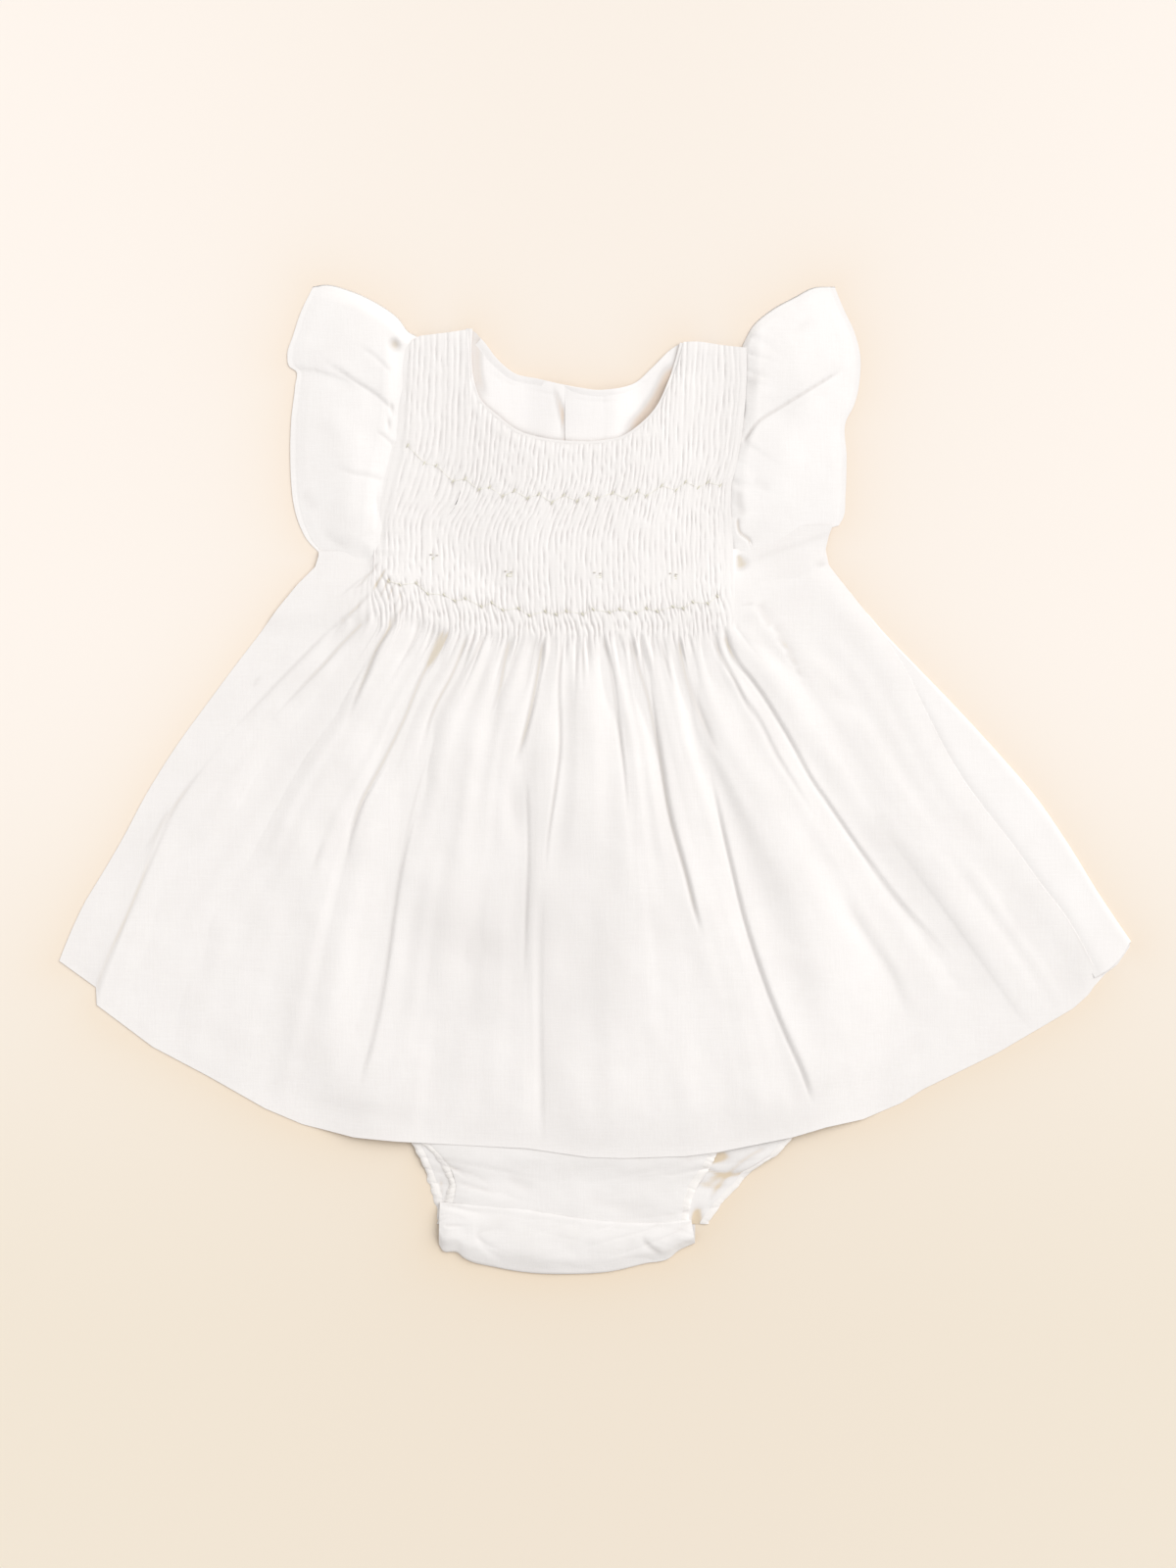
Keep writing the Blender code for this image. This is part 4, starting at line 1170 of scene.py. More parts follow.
    def _skirt_relief(self, cloth: Cloth, column: Array, below: Array) -> None:
        """Flutes between the main folds, fine gathers that die away, folds and crumples.

        Args:
            cloth: the sheet, changed in place.
            column: column number of every point.
            below: how far it lies below the release, as a share of the skirt.
        """
        edges = np.interp(column, (-20, -16, -15.6, -13, 150, 160), (0, 0.35, 0.6, 1, 1, 0))
        for centre, depth, width, life in self.valleys:
            spread = width * (0.8 + 0.9 * below)
            cloth.z -= (depth * bell(column - centre, spread) * smooth(below * 14)
                        * (1 - smooth(below / life)) * edges)
        rng, gathers = np.random.default_rng(6), 32
        centres = -9 + np.cumsum(rng.uniform(3.4, 6.4, gathers))
        phase = np.interp(column, centres, np.arange(float(gathers)))
        nearest = np.round(phase).astype(int)
        life, strength = rng.uniform(0.03, 0.15, gathers)[nearest], rng.uniform(0.4, 1, gathers)[nearest]
        valley = (1 - np.abs(np.sin(math.pi * phase))) ** 1.5
        fade = smooth(below * 70 + 0.2) * (1 - smooth(below / life)) * strength
        fade = fade * ramp(column, -7, 6) * ramp(column, 140, -8)
        cloth.z -= 1.7 * valley * fade
        cloth.shade += 0.5 * valley**3 * fade
        beyond = np.clip(ramp(column, -1, -5) + ramp(column, 2 * self.smocking.pleats + 1, 5), 0, 1)
        cloth.press(*self.folds, share=np.maximum(smooth(below * 40 + 0.15), beyond))
        cloth.press(*UNDERARM_STROKES)
        flow = Crumple(25, 7, 0.5, 1).at(column, below)
        flow += 0.4 * Crumple(26, 2.7, 0.3, 1).at(column, below)
        cloth.z += 0.9 * flow * smooth(below * 10) * edges
        cloth.z += 3 * bell(cloth.x - 45, 85) * smooth(below * 3)
        # painted shade: a broad darker patch over the middle of the skirt, where less light falls
        middle = np.exp(-((cloth.x + 45) / 70) ** 4) * bell(cloth.y + 98, 75)
        cloth.shade += 0.16 * middle * (1 + Crumple(24, 26, 34, 0.5).at(cloth.x, cloth.y))
        cloth.press(Crumple(21, 46, 60, 0.6), Crumple(22, 17, 24, 0.36, 0.5), Crumple(23, 7, 9, 0.12, 1.1),
                    share=smooth(below * 20) * np.clip(edges + 0.2, 0, 1))

    def _settle(self, cloth: Cloth, column: Array) -> None:
        """Bring the hem and side edges down, and keep the cloth above what lies below it.

        Near an edge the height is drawn to a target, by a bell of the distance from that edge.

        Args:
            cloth: the sheet, changed in place.
            column: column number of every point.
        """
        plain = front_base(cloth.x, cloth.y)
        cloth.z = np.maximum(cloth.z, plain + 0.35)
        hem = cloth.y - cloth.y[-1]
        left, right = np.abs(cloth.x - cloth.x[:, :1]), np.abs(cloth.x[:, -1:] - cloth.x)
        first = sum(self.row_counts[:3])
        sides = (np.arange(len(cloth.x)) >= first)[:, None]
        over = ramp(cloth.x, -150, 42) * ramp(cloth.x, 150, -42)
        rim = 0.85 + 0.97 * ramp(cloth.y, 84, -40)
        high = ramp(cloth.y, 74, 12)
        detail = np.clip(cloth.z - plain - CLOTH, -0.6, 0.8) * 0.45

        def draw(away: Array, reach: Array | float, target: Array, share: Array | float) -> None:
            """Draw the height to a target near an edge."""
            near = bell(away, reach) * share
            cloth.z = cloth.z * (1 - near) + target * near

        draw(hem, 32 - 14 * over, 0.75 + 3.4 * over + detail, 1)
        draw(left, 30, 0.75 + 0.8 * high + detail, sides)
        draw(right, 7, rim + 0.15, 0.8 * sides)
        draw(right, 2, rim, sides)
        cloth.z = np.maximum(cloth.z, 0.68)
        draw(hem, 5, 0.45 + 3.45 * over, 1)
        draw(left, 5, 0.45 + 0.85 * high, sides)
        outer = ramp(column, -0.5, -9) + ramp(column, 2 * self.smocking.pleats, 9)
        draw(cloth.y[first] - cloth.y, 11, 1.25, np.clip(outer, 0, 1))


# Creases: points, depth, ridge, narrow, wide, fade in, fade out, dark (painted shade).
# Pits: spot, size, depth, dark (painted shade), turn
UNDERARM_STROKES = (
    Crease(((-107, 108.7), (-111, 102), (-115.2, 94.7)), 1.2, 0.8, 0.9, 4, 0.2, 0.3, 1.2),
    Crease(((-115.5, 106.5), (-119, 101.5), (-124, 97)), 0.8, 0.5, 0.7, 3, 0.3, 0.3, 0.6),
    Crease(((-104.5, 105), (-108.5, 97), (-111, 92)), 0.2, 0, 0.7, 3, 0.3, 0.3, 0.8),
    Crease(((-101.5, 103), (-105, 95.5), (-107, 91)), 0.2, 0, 0.7, 3, 0.3, 0.3, 0.7),
    Crease(((-110.5, 112), (-113.5, 108), (-117, 103.5)), 0.6, 0.4, 0.7, 3, 0.3, 0.3, 0.6),
    Crease(((-98, 99), (-101, 92), (-103.5, 86)), 0.2, 0, 0.8, 3, 0.3, 0.3, 0.5),
    Crease(((-113, 107.5), (-124, 99.5), (-134, 91)), 0.6, 0.4, 1, 4, 0.2, 0.4, 0.35),
    Crease(((-93.7, 92.5), (-101, 85), (-108.7, 77.5)), 0.4, 0.2, 1.1, 5, 0.3, 0.3, 0.5),
)
FRONT_FOLDS = (
    Crease(((-174, 53), (-189, 23), (-207, -2), (-219, -18), (-237, -63.5), (-255.7, -109), (-256, -118)),
           0.2, 0.9, 0.9, 24, 0.6, 0, 0.48, lee=0.55),
    Crease(((-196, 12), (-212, -8), (-228, -42), (-243, -76), (-254, -104), (-256, -112)),
           1, 1.3, 1.3, 14, 0.25, 0, 0.5, side=LEFT),
    Crease(((-218, -13), (-224, -25), (-231, -37)), 0.6, 0.3, 1.1, 5, 0.3, 0.3, 0.35, side=LEFT),
    Crease(((-172, 53.5), (-174, 50), (-176, 46)), 0.5, 0, 2, 5, 0.3, 0.3, 0.35),
    Crease(((-107, 90.8), (-117, 82), (-126.6, 72.9), (-138, 60.5), (-151, 46.8), (-172, 24)),
           1.6, 1.5, 1.2, 10, 0.1, 0.5, 0.75),
    Crease(((-115, 95.7), (-126.6, 84.3), (-139.7, 73.7)), 1.2, 0.8, 1.1, 7, 0.1, 0.4, 0.65),
    Crease(((-119, 91), (-128, 82), (-137, 69)), 0.6, 0.4, 1, 4, 0.3, 0.4, 0.3),
    Crease(((-134, 79), (-150, 63), (-172, 40), (-197, 13)), 1.2, 1.5, 1.2, 15, 0.15, 0.5, 0.45),
    Crease(((-117, 84), (-135, 41.5), (-161, 4), (-185, -32), (-206, -65), (-224, -110)),
           2, 1.5, 7, 22, 0.4, 0.25, 0.15),
    Crease(((-101, 84), (-112, 67), (-117, 55), (-122, 43), (-128, 25)),
           2.2, 1.6, 1.4, 12, 0.03, 0.5, 0.9, hollow=0.2),
    Crease(((-75, 78), (-77, 73), (-88, 55), (-98, 31), (-110, 7), (-121, -14), (-126, -32), (-128, -47)),
           2.6, 2.3, 1.4, 15, 0.02, 0.3, 0.85, hollow=0.3),
    Crease(((-78, 77), (-81.5, 68), (-87, 55)), 1.9, 0, 2.6, 5, 0.02, 0.4, 1.25),
    Crease(((-138.5, -29), (-146, -48)), 0.7, 0.4, 1.8, 6, 0.4, 0.4, 0.3),
    Crease(((-65, 76), (-73, 55), (-84, 33), (-88, 14)), 1.7, 1.2, 1.2, 9, 0.03, 0.4, 0.85),
    Crease(((-83, 26), (-85, 16), (-92, -8), (-97, -30), (-101, -50), (-107, -92), (-111, -115),
            (-116, -137), (-123, -160)), 1.05, 1.35, 1.1, 20, 0.2, 0.15, 0.32, hollow=0.2),
    Crease(((-57, 75), (-63, 62), (-70, 49.5)), 1.6, 0.8, 1.1, 6, 0.05, 0.6, 0.6),
    Crease(((-43, 74), (-47, 59), (-49, 47), (-55, 30)), 1.9, 1.1, 1.4, 8, 0.03, 0.5, 0.9),
    Crease(((-27, 75), (-28, 67), (-32, 43), (-38, 19), (-43, 5)),
           2.4, 2, 1.3, 11, 0.02, 0.3, 0.95, hollow=0.2),
    Pit((-41.5, -14), (5, 15), 1.1, 0.17, 0.05),
    Crease(((-36, 4), (-35, -38), (-36, -65), (-37, -92), (-38, -112)), 0.7, 0.77, 1.2, 14, 0.15, 0.4, 0.16),
    Crease(((-17, 74), (-19, 55), (-19, 13), (-22, -10), (-25, -32), (-26, -56)),
           1.36, 1.02, 0.99, 11, 0.03, 0.4, 0.5),
    Crease(((-7, 74), (-7, 45)), 1.4, 0.7, 1.1, 6, 0.05, 0.6, 0.55),
    Crease(((3, 75), (7, 58), (11, 28), (14, 4), (16, -26)), 1.6, 1.2, 1.1, 11, 0.03, 0.45, 0.5),
    Crease(((12, 75), (16, 61)), 1.4, 0.5, 1.1, 5, 0.05, 0.6, 0.55),
    Crease(((18, 76), (19, 67), (26, 43), (32, 13), (37, -17), (46, -50), (50, -66), (54, -80)),
           2.25, 1.71, 1.3, 15, 0.02, 0.12, 0.72, hollow=0.3),
    Crease(((31, 76), (36, 58), (40, 44)), 1.5, 0.8, 1.1, 6, 0.05, 0.6, 0.55),
    Crease(((42, 76), (43, 62), (49, 43), (55, 28), (64, 7)), 1.9, 1.4, 2.6, 11, 0.05, 0.35, 0.6),
    Crease(((57, 10), (61, -11), (68, -42), (76, -74), (88, -110), (98, -134), (106, -152), (110, -165)),
           1.53, 1.95, 0.99, 20, 0.25, 0.06, 0.51, hollow=0.2),
    Crease(((57, 76), (62, 66), (67.7, 56), (75.7, 40), (82, 28)), 1.5, 1.2, 1.1, 8, 0.05, 0.5, 0.55),
    Crease(((64, 77.2), (66, 71.3), (71.9, 59.6), (78.4, 51.8), (84.9, 42.7), (91.4, 32.3), (99.9, 18),
            (109, 1), (118, -12), (136, -38), (154, -62), (178, -89), (193, -113)),
           1.5, 1.5, 1, 18, 0.04, 0.3, 0.45, hollow=0.1),
    Crease(((64.5, 75), (67, 68.5), (71.9, 59.6)), 0.6, 0, 1.5, 4, 0.2, 0.4, 0.6),
    Crease(((71, 47.5), (83, 30), (92, 12), (102, -4), (113, -22)), 1.2, 0.9, 1.6, 9, 0.2, 0.5, 0.3),
    Crease(((81.5, 90.5), (84.7, 86), (95.7, 70), (102.7, 56), (109, 42)),
           1.2, 1, 1.1, 14, 0.06, 0.5, 0.95, side=LEFT, hollow=0.3, lee=0.42),
    Crease(((70, 90.5), (74, 89.2), (78, 90), (82.6, 88.3)), 0.4, 0.3, 0.8, 3, 0.3, 0.3, 0.35),
    Crease(((78, 101), (90, 102.6), (103, 104.5), (112, 109)), 0.4, 0.4, 1.6, 6, 0.3, 0.2, 0.16, side=LEFT),
    Crease(((80, 113), (88, 115.6), (105, 121.3), (124, 127.6)), 0.2, 0, 2.4, 6, 0.1, 0.2, 0.26),
    Pit((114, 110.4), (1.8, 1.7), 0.7, 0.55),
    Pit((74, 110.4), (3.4, 2.6), 0.7, 0.95, 0.4),
    Pit((73, 113.6), (1.6, 1.1), 0.9, 1),
    Crease(((115, 51), (138, 32)), 1, 0.4, 4, 9, 0.3, 0.5, 0.15),
    Crease(((121, -53), (136, -78), (151, -101), (160, -128)), 1.2, 0.8, 3.5, 12, 0.3, 0.4, 0.15),
    Crease(((154, 46), (181, 16), (214, -26), (244, -68), (256, -98)), 0.9, 0.9, 2.2, 9, 0.2, 0.1, 0.22),
    Crease(((235, -59), (247, -80), (257, -99)), 0.9, 0.6, 0.8, 8, 0.3, 0, 0.6),
    # broad patches of painted shade: one in the middle of the skirt and a band above the left hem
    Pit((-59, -86), (17, 11), 0.8, 0.08),
    Pit((-123, -166.5), (33, 5.5), 0.3, 0.14, -0.2),
)


@dataclass
class Threads:
    """Embroidery on the smocking: two wave rows and four small knots, with the threads' radii."""

    front: Front
    knots: Line = ((-82.7, 115), (-44.7, 106.4), (0.6, 105.6), (39.3, 105.2))
    leans: tuple[float, ...] = (1.1, -0.9)
    thread: float = 0.12
    wrap: float = 0.26
    knot: float = 0.42
    loop: float = 0.3

    def rows(self) -> Item:
        """Wave stitches from dot to dot along both rows, with a wrap at each dot.

        Returns:
            All the threads as one object.
        """
        paths, wraps = [], []
        for number, lean in enumerate(self.leans):
            level, spacing, swing, _ = self.front.smocking.rows[number]
            columns, swings = self.front.smocking.dots(spacing, number)
            row_y = np.interp(columns, self.front.columns, self.front.row_ys[level][0])
            spots = [self.front.spot(c, y + swing * s) for c, y, s in zip(columns, row_y, swings)]
            paths += [self._bridge(a, b, 7) for a, b in zip(spots[:-1], spots[1:])]
            wraps += [self._bridge((x - 0.7, y - lean, z + 0.05), (x + 0.7, y + lean, z + 0.05), 5)
                      for x, y, z in spots]
        items = [sheet_object("thread", thread_grid(path, self.thread), THREAD) for path in paths]
        items += [sheet_object("wrap", thread_grid(path, self.wrap), OLIVE) for path in wraps]
        return joined("smocking_threads", items)

    @staticmethod
    def _bridge(start: Sequence[float], end: Sequence[float], count: int) -> Array:
        """A thread of so many points between two places, dipping a little between pleats."""
        path = np.linspace(start, end, count)
        path[:, 2] -= 0.12 * np.sin(np.arange(count) * math.pi / 2) ** 2
        return path

    def knot_pieces(self) -> Item:
        """Each knot: two short wraps side by side and a loose loop below.

        Returns:
            All the knots as one object.
        """
        items = []
        for x, y in self.knots:
            z = float(front_base(np.array(x), np.array(y))) + CLOTH + 0.8 * self.front.smocking.height
            for shift, rise in ((-1.5, 0.2), (1.5, -0.2)):
                path = np.linspace((x + shift - 0.75, y + rise - 0.15, z - 0.1),
                                   (x + shift + 0.75, y + rise + 0.15, z - 0.1), 7)
                path[:, 2] += 0.45 * np.sin(np.linspace(0, math.pi, 7))
                items.append(sheet_object("knot", thread_grid(path, self.knot, 8), KNOT))
            angle = np.linspace(0.15 * math.pi, 1.85 * math.pi, 20)
            loop = np.column_stack([x + 0.6 + 1.5 * np.cos(angle), y - 1.9 + 0.7 * np.sin(angle),
                                    np.full_like(angle, z - 0.15)])
            items.append(sheet_object("loop", thread_grid(loop, self.loop, 8), OLIVE))
        return joined("smocking_knots", items)


# ---- back


@dataclass
class BackSkirt:
    """The back skirt, flat on the surface, turned over to the front on the right.

    The insets say how far the flat part stays inside the outlines, and how far the strip that is turned
    over reaches below the front.
    """

    rows: int = 90
    across: int = 90
    strip: int = 15
    left_inset: float = 5.0
    fold_inset: float = 1.2
    seam_inset: float = 2.5

    def build(self) -> Item:
        """Rows run from the waist to the hem; the last columns turn over and back.

        Returns:
            The sheet.
        """
        shares = even(self.rows)
        right = self._below_waist(RIGHT_EDGE, shares)
        fold_x = right[:, 0] - self.fold_inset
        grown = ramp(right[:, 1], 84, -40)
        turn = [Cloth(fold_x + out, right[:, 1], 0.45 + (height - 0.45) * grown).grid()
                for out, height in ((0.4, 0.5), (0.6, 0.7), (0.4, 0.9), (0, 1.1))]
        grid = np.concatenate([self._flat(self._below_waist(LEFT_EDGE, shares), right, fold_x).grid(),
                               np.stack(turn, axis=1),
                               self._turned_over(shares, right, fold_x, grown).grid()], axis=1)
        return thicken(sheet_object("back_skirt_cloth", bordered(grid), SLEEVE_LINEN), 0.4)

    def _flat(self, left: Array, right: Array, fold_x: Array) -> Cloth:
        """The part on the surface, from the left edge to the fold.

        Args:
            left, right: (rows, 2) side edges.
            fold_x: x of the fold.

        Returns:
            The cloth, thinning towards its edges.
        """
        across = even(self.across)
        start = left[:, :1] + self.left_inset
        x = start + (fold_x[:, None] - start) * across
        hem_y = np.interp(x[-1], *np.array((*HEM, (265.5, -95.5), (270.5, -89.5), RIGHT_EDGE[-1])).T)
        hem_y = hem_y + 5 * ramp(x[-1], 254, -16)
        left_down, right_down = ((edge[:, 1] - WAIST_Y) / (edge[-1, 1] - WAIST_Y) for edge in (left, right))
        down = left_down[:, None] + (right_down - left_down)[:, None] * across
        y = WAIST_Y + (hem_y - WAIST_Y) * down
        flat = Cloth(x, y, 0.58).press(Crumple(31, 30, 90, 0.12), Crumple(32, 11, 40, 0.06))
        edge = np.minimum(np.minimum(y - y[-1:], x - x[:, :1]), 12)
        flat.z = 0.42 + (np.clip(flat.z, 0.45, 0.75) - 0.42) * smooth(edge / 12)
        return flat

    def _turned_over(self, shares: Array, right: Array, fold_x: Array, grown: Array) -> Cloth:
        """The strip that lies on the flat part, from the fold to the front's edge.

        Args:
            shares: shares of the way from the waist to the hem.
            right: (rows, 2) right edge.
            fold_x: x of the fold.
            grown: how far the fold stands open.

        Returns:
            The cloth, crowned across and bowed out at the hem.
        """
        seam = self._below_waist(RIGHT_SEAM, shares)
        strip = even(self.strip + 1)[1:]
        inner_x = seam[:, 0] - self.seam_inset
        x = fold_x[:, None] + (inner_x - fold_x)[:, None] * strip
        y = right[:, 1:] + (seam[:, 1:] - right[:, 1:]) * strip
        lift = (np.minimum((fold_x - inner_x) / 9, 1) * ramp(right[:, 1], 78, -50))[:, None]
        bow = 2.4 * np.sin(math.pi * strip) * smooth((shares - 0.9) / 0.1)[:, None]
        hidden = bell(x - inner_x[:, None], 2.4)
        z = 0.5 + 0.6 * grown[:, None] + (0.2 + 0.35 * smooth(strip / 0.8) - 0.8 * hidden) * lift
        cloth = Cloth(x + 0.75 * bow, y - 0.65 * bow, z)
        return cloth.press(Crumple(33, 14, 30, 0.12), share=lift * (1 - hidden))

    @staticmethod
    def _below_waist(edge: Line, shares: Array) -> Array:
        """A side edge from the waist seam down, at shares of its length."""
        line = np.asarray(edge, float)
        top_x = np.interp(-WAIST_Y, -line[:, 1], line[:, 0])
        return curve(np.vstack([[top_x, WAIST_Y], line[line[:, 1] < WAIST_Y - 0.7]]), shares)


@dataclass
class BackBodice:
    """One half of the back above the waist; the lapped one lies on top at the centre."""

    name: str
    neck: Line
    side: Line
    centre_x: float
    rise: float
    lapped: bool
    folds: Folds
    rows: int = 90
    columns: int = 80

    def build(self) -> Item:
        """Rows run from the shoulder and neck to the waist, columns from armhole to centre.

        Returns:
            The sheet.
        """
        shares = even(self.columns)
        top = curve(self.neck, shares)
        side = curve(self.side, even(self.rows))
        down = even(self.rows)[:, None]
        inner_y = top[-1, 1] + (WAIST_Y - 6 - top[-1, 1]) * down
        inner = np.dstack([np.full_like(inner_y, self.centre_x), inner_y])
        straight = side[:, None] + (inner - side[:, None]) * shares[None, :, None]
        bow = (1 - down)[..., None] * (top - (top[0] + (top[-1] - top[0]) * shares[:, None]))[None]
        x, y = np.moveaxis(straight + bow, -1, 0)
        cloth = Cloth(x, y, closure_rise(x, self.rise) + 0.85)
        cloth.press(Crumple(41, 25, 32, 0.2), Crumple(42, 9, 12, 0.06), *self.folds)
        if self.lapped:
            cloth.z -= (1.05 + 0.3 * ramp(y, 188, 10)) * np.exp(-np.abs(x - self.centre_x) / 7)
            cloth.z += 0.5 * bell(away_from(((44, 222), (39, 208), (32, 192), (26, 184)), x, y), 8)
        cloth.z = np.maximum(cloth.z, 0.45)
        # painted shadow: the front's neck edge shades the bodice beside it
        cloth.shade += 0.5 * np.exp(-away_from(FRONT_NECK, x, y) / 1.2)
        grid = cloth.grid()[:, ::-1] if self.lapped else cloth.grid()
        return thicken(sheet_object(f"{self.name}_cloth", bordered(grid), INSIDE_LINEN), 0.25)


# Folds and painted shade inside the neck: along the slit between the back halves, and where the front's neck
# edge casts its shadow on the back
SLIT = ((-18.5, 196.5), (-17.6, 190), (-16.9, 182), (-16.4, 174), (-16.2, 160))
LEFT_INSIDE = (
    Crease(SLIT, 0.2, 0, 0.8, 3, 0.2, 0, 0.8),
    Pit((-18, 188), (8, 1.5), 0.2, 0.55, 1.8),
    Pit((-20.5, 196.5), (5, 1.4), 0.1, 0.2, 1.85),
    Crease(((-60, 226), (-60.5, 214), (-59, 203), (-54, 193)), 0.4, 0, 3, 6, 0, 0.4, 0.75),
    Crease(((-56, 209), (-44, 203), (-30, 199.5), (-21, 197)), 0.35, 0.1, 0.7, 3, 0.1, 0.1, 0.15),
)
RIGHT_INSIDE = (
    Crease(((40, 214), (35.5, 204), (29, 192), (21.5, 183), (12, 176.5)), 0.2, 0, 4.2, 6, 0.2, 0.3, 1.5),
    Crease(((-13, 195.5), (4, 193.6), (17, 196.5), (27, 204)), 0.3, 0.1, 0.7, 3, 0.1, 0.3, 0.12),
    Crease(((4.3, 199), (4.4, 186), (4.3, 173)), 0.3, 0.1, 0.7, 3, 0.1, 0.1, 0.15),
)

BODICES = (
    BackBodice("back_bodice_left", (ARMHOLE_LEFT[0], (-76, 228), *BACK_NECK_LEFT),
               (*ARMHOLE_LEFT, (-140, 113), (-142.3, 108), (-151, 99.5), (-164.5, WAIST_Y - 6)),
               1, BUTTON_RISE, False, LEFT_INSIDE),
    BackBodice("back_bodice_right", (ARMHOLE_RIGHT[0], (64, 221.8), *BACK_NECK_RIGHT[::-1]),
               (*ARMHOLE_RIGHT, (75, 119), (112, 124), (116.2, 118), (117.8, 109.5), (124, 101),
                (139.5, WAIST_Y - 6)), -16, BUTTON_RISE + LAYER, True, RIGHT_INSIDE),
)


@dataclass
class NeckEdges:
    """Front neck binding and the two facings inside the back neck."""

    binding_width: float = 3.4
    facing_width: float = 5.6

    def binding(self) -> Item:
        """A soft strip round the front neck edge, rolled at both sides.

        Returns:
            The sheet.
        """
        shares = even(160)
        across = even(11)
        inner = curve(FRONT_NECK, shares)
        outer = curve(beside(FRONT_NECK, self.binding_width), shares)
        xy = inner[None] + (outer - inner)[None] * across[:, None, None]
        x, y = np.moveaxis(xy, -1, 0)
        cloth = Cloth(x, y, front_base(x, y) + 0.85 + 0.08 * np.sin(math.pi * across)[:, None])
        cloth.z -= 0.4 * smooth((across - 0.35) / 0.65)[:, None]
        cloth.press(Crumple(51, 4, 4, 0.08))
        grid = rolled(rolled(cloth.grid(), Rim.TOP, 1.2), Rim.BOTTOM, 0.5)
        return sheet_object("neck_binding", grid, BINDING)

    def facing(self, name: str, line: Line, span: tuple[float, float], lapped: bool) -> Item:
        """A strip inside the back neck edge, stitched down along its inner side.

        Args:
            name: the object's name.
            line: the neck edge.
            span: shares of its length where the strip starts and ends.
            lapped: whether it lies on the upper half, and dips with it at the centre.

        Returns:
            The sheet.
        """
        shares = np.linspace(*span, 60)
        across = even(15)
        edge = curve(beside(line, 0.1), shares)
        inside = curve(beside(line, 0.1 + self.facing_width), shares)
        xy = edge[None] + (inside - edge)[None] * across[:, None, None]
        x, y = np.moveaxis(xy, -1, 0)
        rise = closure_rise(x, BUTTON_RISE + LAYER * lapped) + 1.35
        strip = Cloth(x, y, rise - 0.65 * smooth(across * 1.05)[:, None])
        strip.z -= 1.75 * np.exp(-np.abs(strip.x + 16) / 7) * lapped
        # the stitch line: a shallow groove with painted shade along it
        strip.z -= 0.06 * bell(across - 0.86, 0.08)[:, None]
        strip.shade += 0.07 * bell(across - 0.86, 0.06)[:, None]
        grid = rolled(strip.grid(), Rim.TOP, 0.5)
        return sheet_object(name, grid, INSIDE_LINEN)


# ---- sleeves


@dataclass
class Sleeve:
    """A ruffled sleeve: its front half lies over its back half.

    lifts says how far it stands up, by share of the way down; tuck, how much of it lies below the front;
    drop and inset, how far the back half is moved down at the shoulder and in from the edge.
    """

    name: str
    armhole: Line
    shoulder: Line
    edge: Line
    underarm: Line
    lifts: Line
    side: Side
    folds: Folds
    seed: int
    rows: int = 130
    columns: int = 90
    tuck: float = 3.0
    drop: float = 5.0
    inset: float = 7.0
    wall: float = 0.15

    def _half(self, rows: int) -> Array:
        """Plan of one half, stretched between the seam, shoulder, edge and underarm."""
        down, across = even(rows), even(self.columns)
        seam, edge = curve(self.armhole, down), curve(self.edge, down)
        top, bottom = curve(self.shoulder, across), curve(self.underarm, across)
        if self.side is LEFT:
            return stretched(edge, seam, top[::-1], bottom[::-1])
        return stretched(seam, edge, top, bottom)

    def build(self) -> Item:
        """Front half on top, folded at the shoulder, back half on the surface.

        Returns:
            The sheet.
        """
        left = self.side is LEFT
        front, back = self._half(self.rows), self._half(self.rows // 2)
        cloth = self._raised(front[..., 0], front[..., 1])
        across = np.linspace(1, 0, self.columns) if left else even(self.columns)
        under_x = back[..., 0] - self.side.value * self.inset * across
        under_y = back[..., 1] - self.drop * across * np.linspace(1, 0, len(back))[:, None]
        low = Cloth(under_x, under_y, 0.25).grid()[::-1]
        fold = Cloth(cloth.x[:1], cloth.y[:1] + 0.3, 0.19).grid()
        grid = np.concatenate([low[:-1], fold, cloth.grid()[1:]], axis=0)
        return thicken(sheet_object(f"{self.name}_cloth", bordered(grid), SLEEVE_LINEN), self.wall)

    def _raised(self, x: Array, y: Array) -> Cloth:
        """The front half: it rises from the seam, lies highest in the middle and comes down at its edge.

        Args:
            x, y: its plan.

        Returns:
            The cloth.
        """
        left = self.side is LEFT
        down = even(self.rows)
        lift = hermite(*np.array(self.lifts, float).T, down)[:, None]
        seam_x, edge_x = (x[:, -1:], x[:, :1]) if left else (x[:, :1], x[:, -1:])
        out, rim = np.abs(x - seam_x) - self.tuck, np.abs(edge_x - x)
        free = np.maximum(out, 0)
        started = smooth(down * 14 + 0.25)[:, None]
        edge_down = 0.07 + 0.15 * smooth(rim / 9) + 0.78 * smooth(rim / 34)
        body = 0.65 * lift * smooth((out + 2) / 9) + 0.3
        quick = 9 * np.exp(-free / 8) * left
        ended = 0.5 + 0.5 * smooth((1 - down)[:, None] * (5.5 + quick))
        z = 0.18 + (1.45 + body + 0.5 * bell(out, 6)) * edge_down * ended
        cloth = Cloth(x, y, z + 0.9 * bell(out, 4) * (1 - edge_down) * ended)
        # gathers beside the seam, with painted shade between their lobes
        near = smooth((out + 1) / 2.5) * np.exp(-free / 9)
        lobes = billow(self.seed + 5, 4.6, 30, y + 0.35 * free, out)
        picked = np.clip(0.5 + Crumple(self.seed + 6, 22, 40, 1).at(y, out), 0, 1)
        cloth.z += 0.55 * near * (lobes - 0.4) * picked * ended
        cloth.shade += 0.18 * near * (1 - lobes) ** 3 * np.exp(-free / 4) * picked
        cloth.press(*self.folds)
        cloth.press(Crumple(self.seed, 18, 24, 0.45), Crumple(self.seed + 1, 8, 9, 0.12, 0.7),
                    share=smooth(out / 8) * edge_down)
        cloth.z -= 0.08 * bell(rim - 2.6, 0.5)
        cloth.z = 0.18 + (np.maximum(cloth.z, 0.2) - 0.18) * started
        return cloth


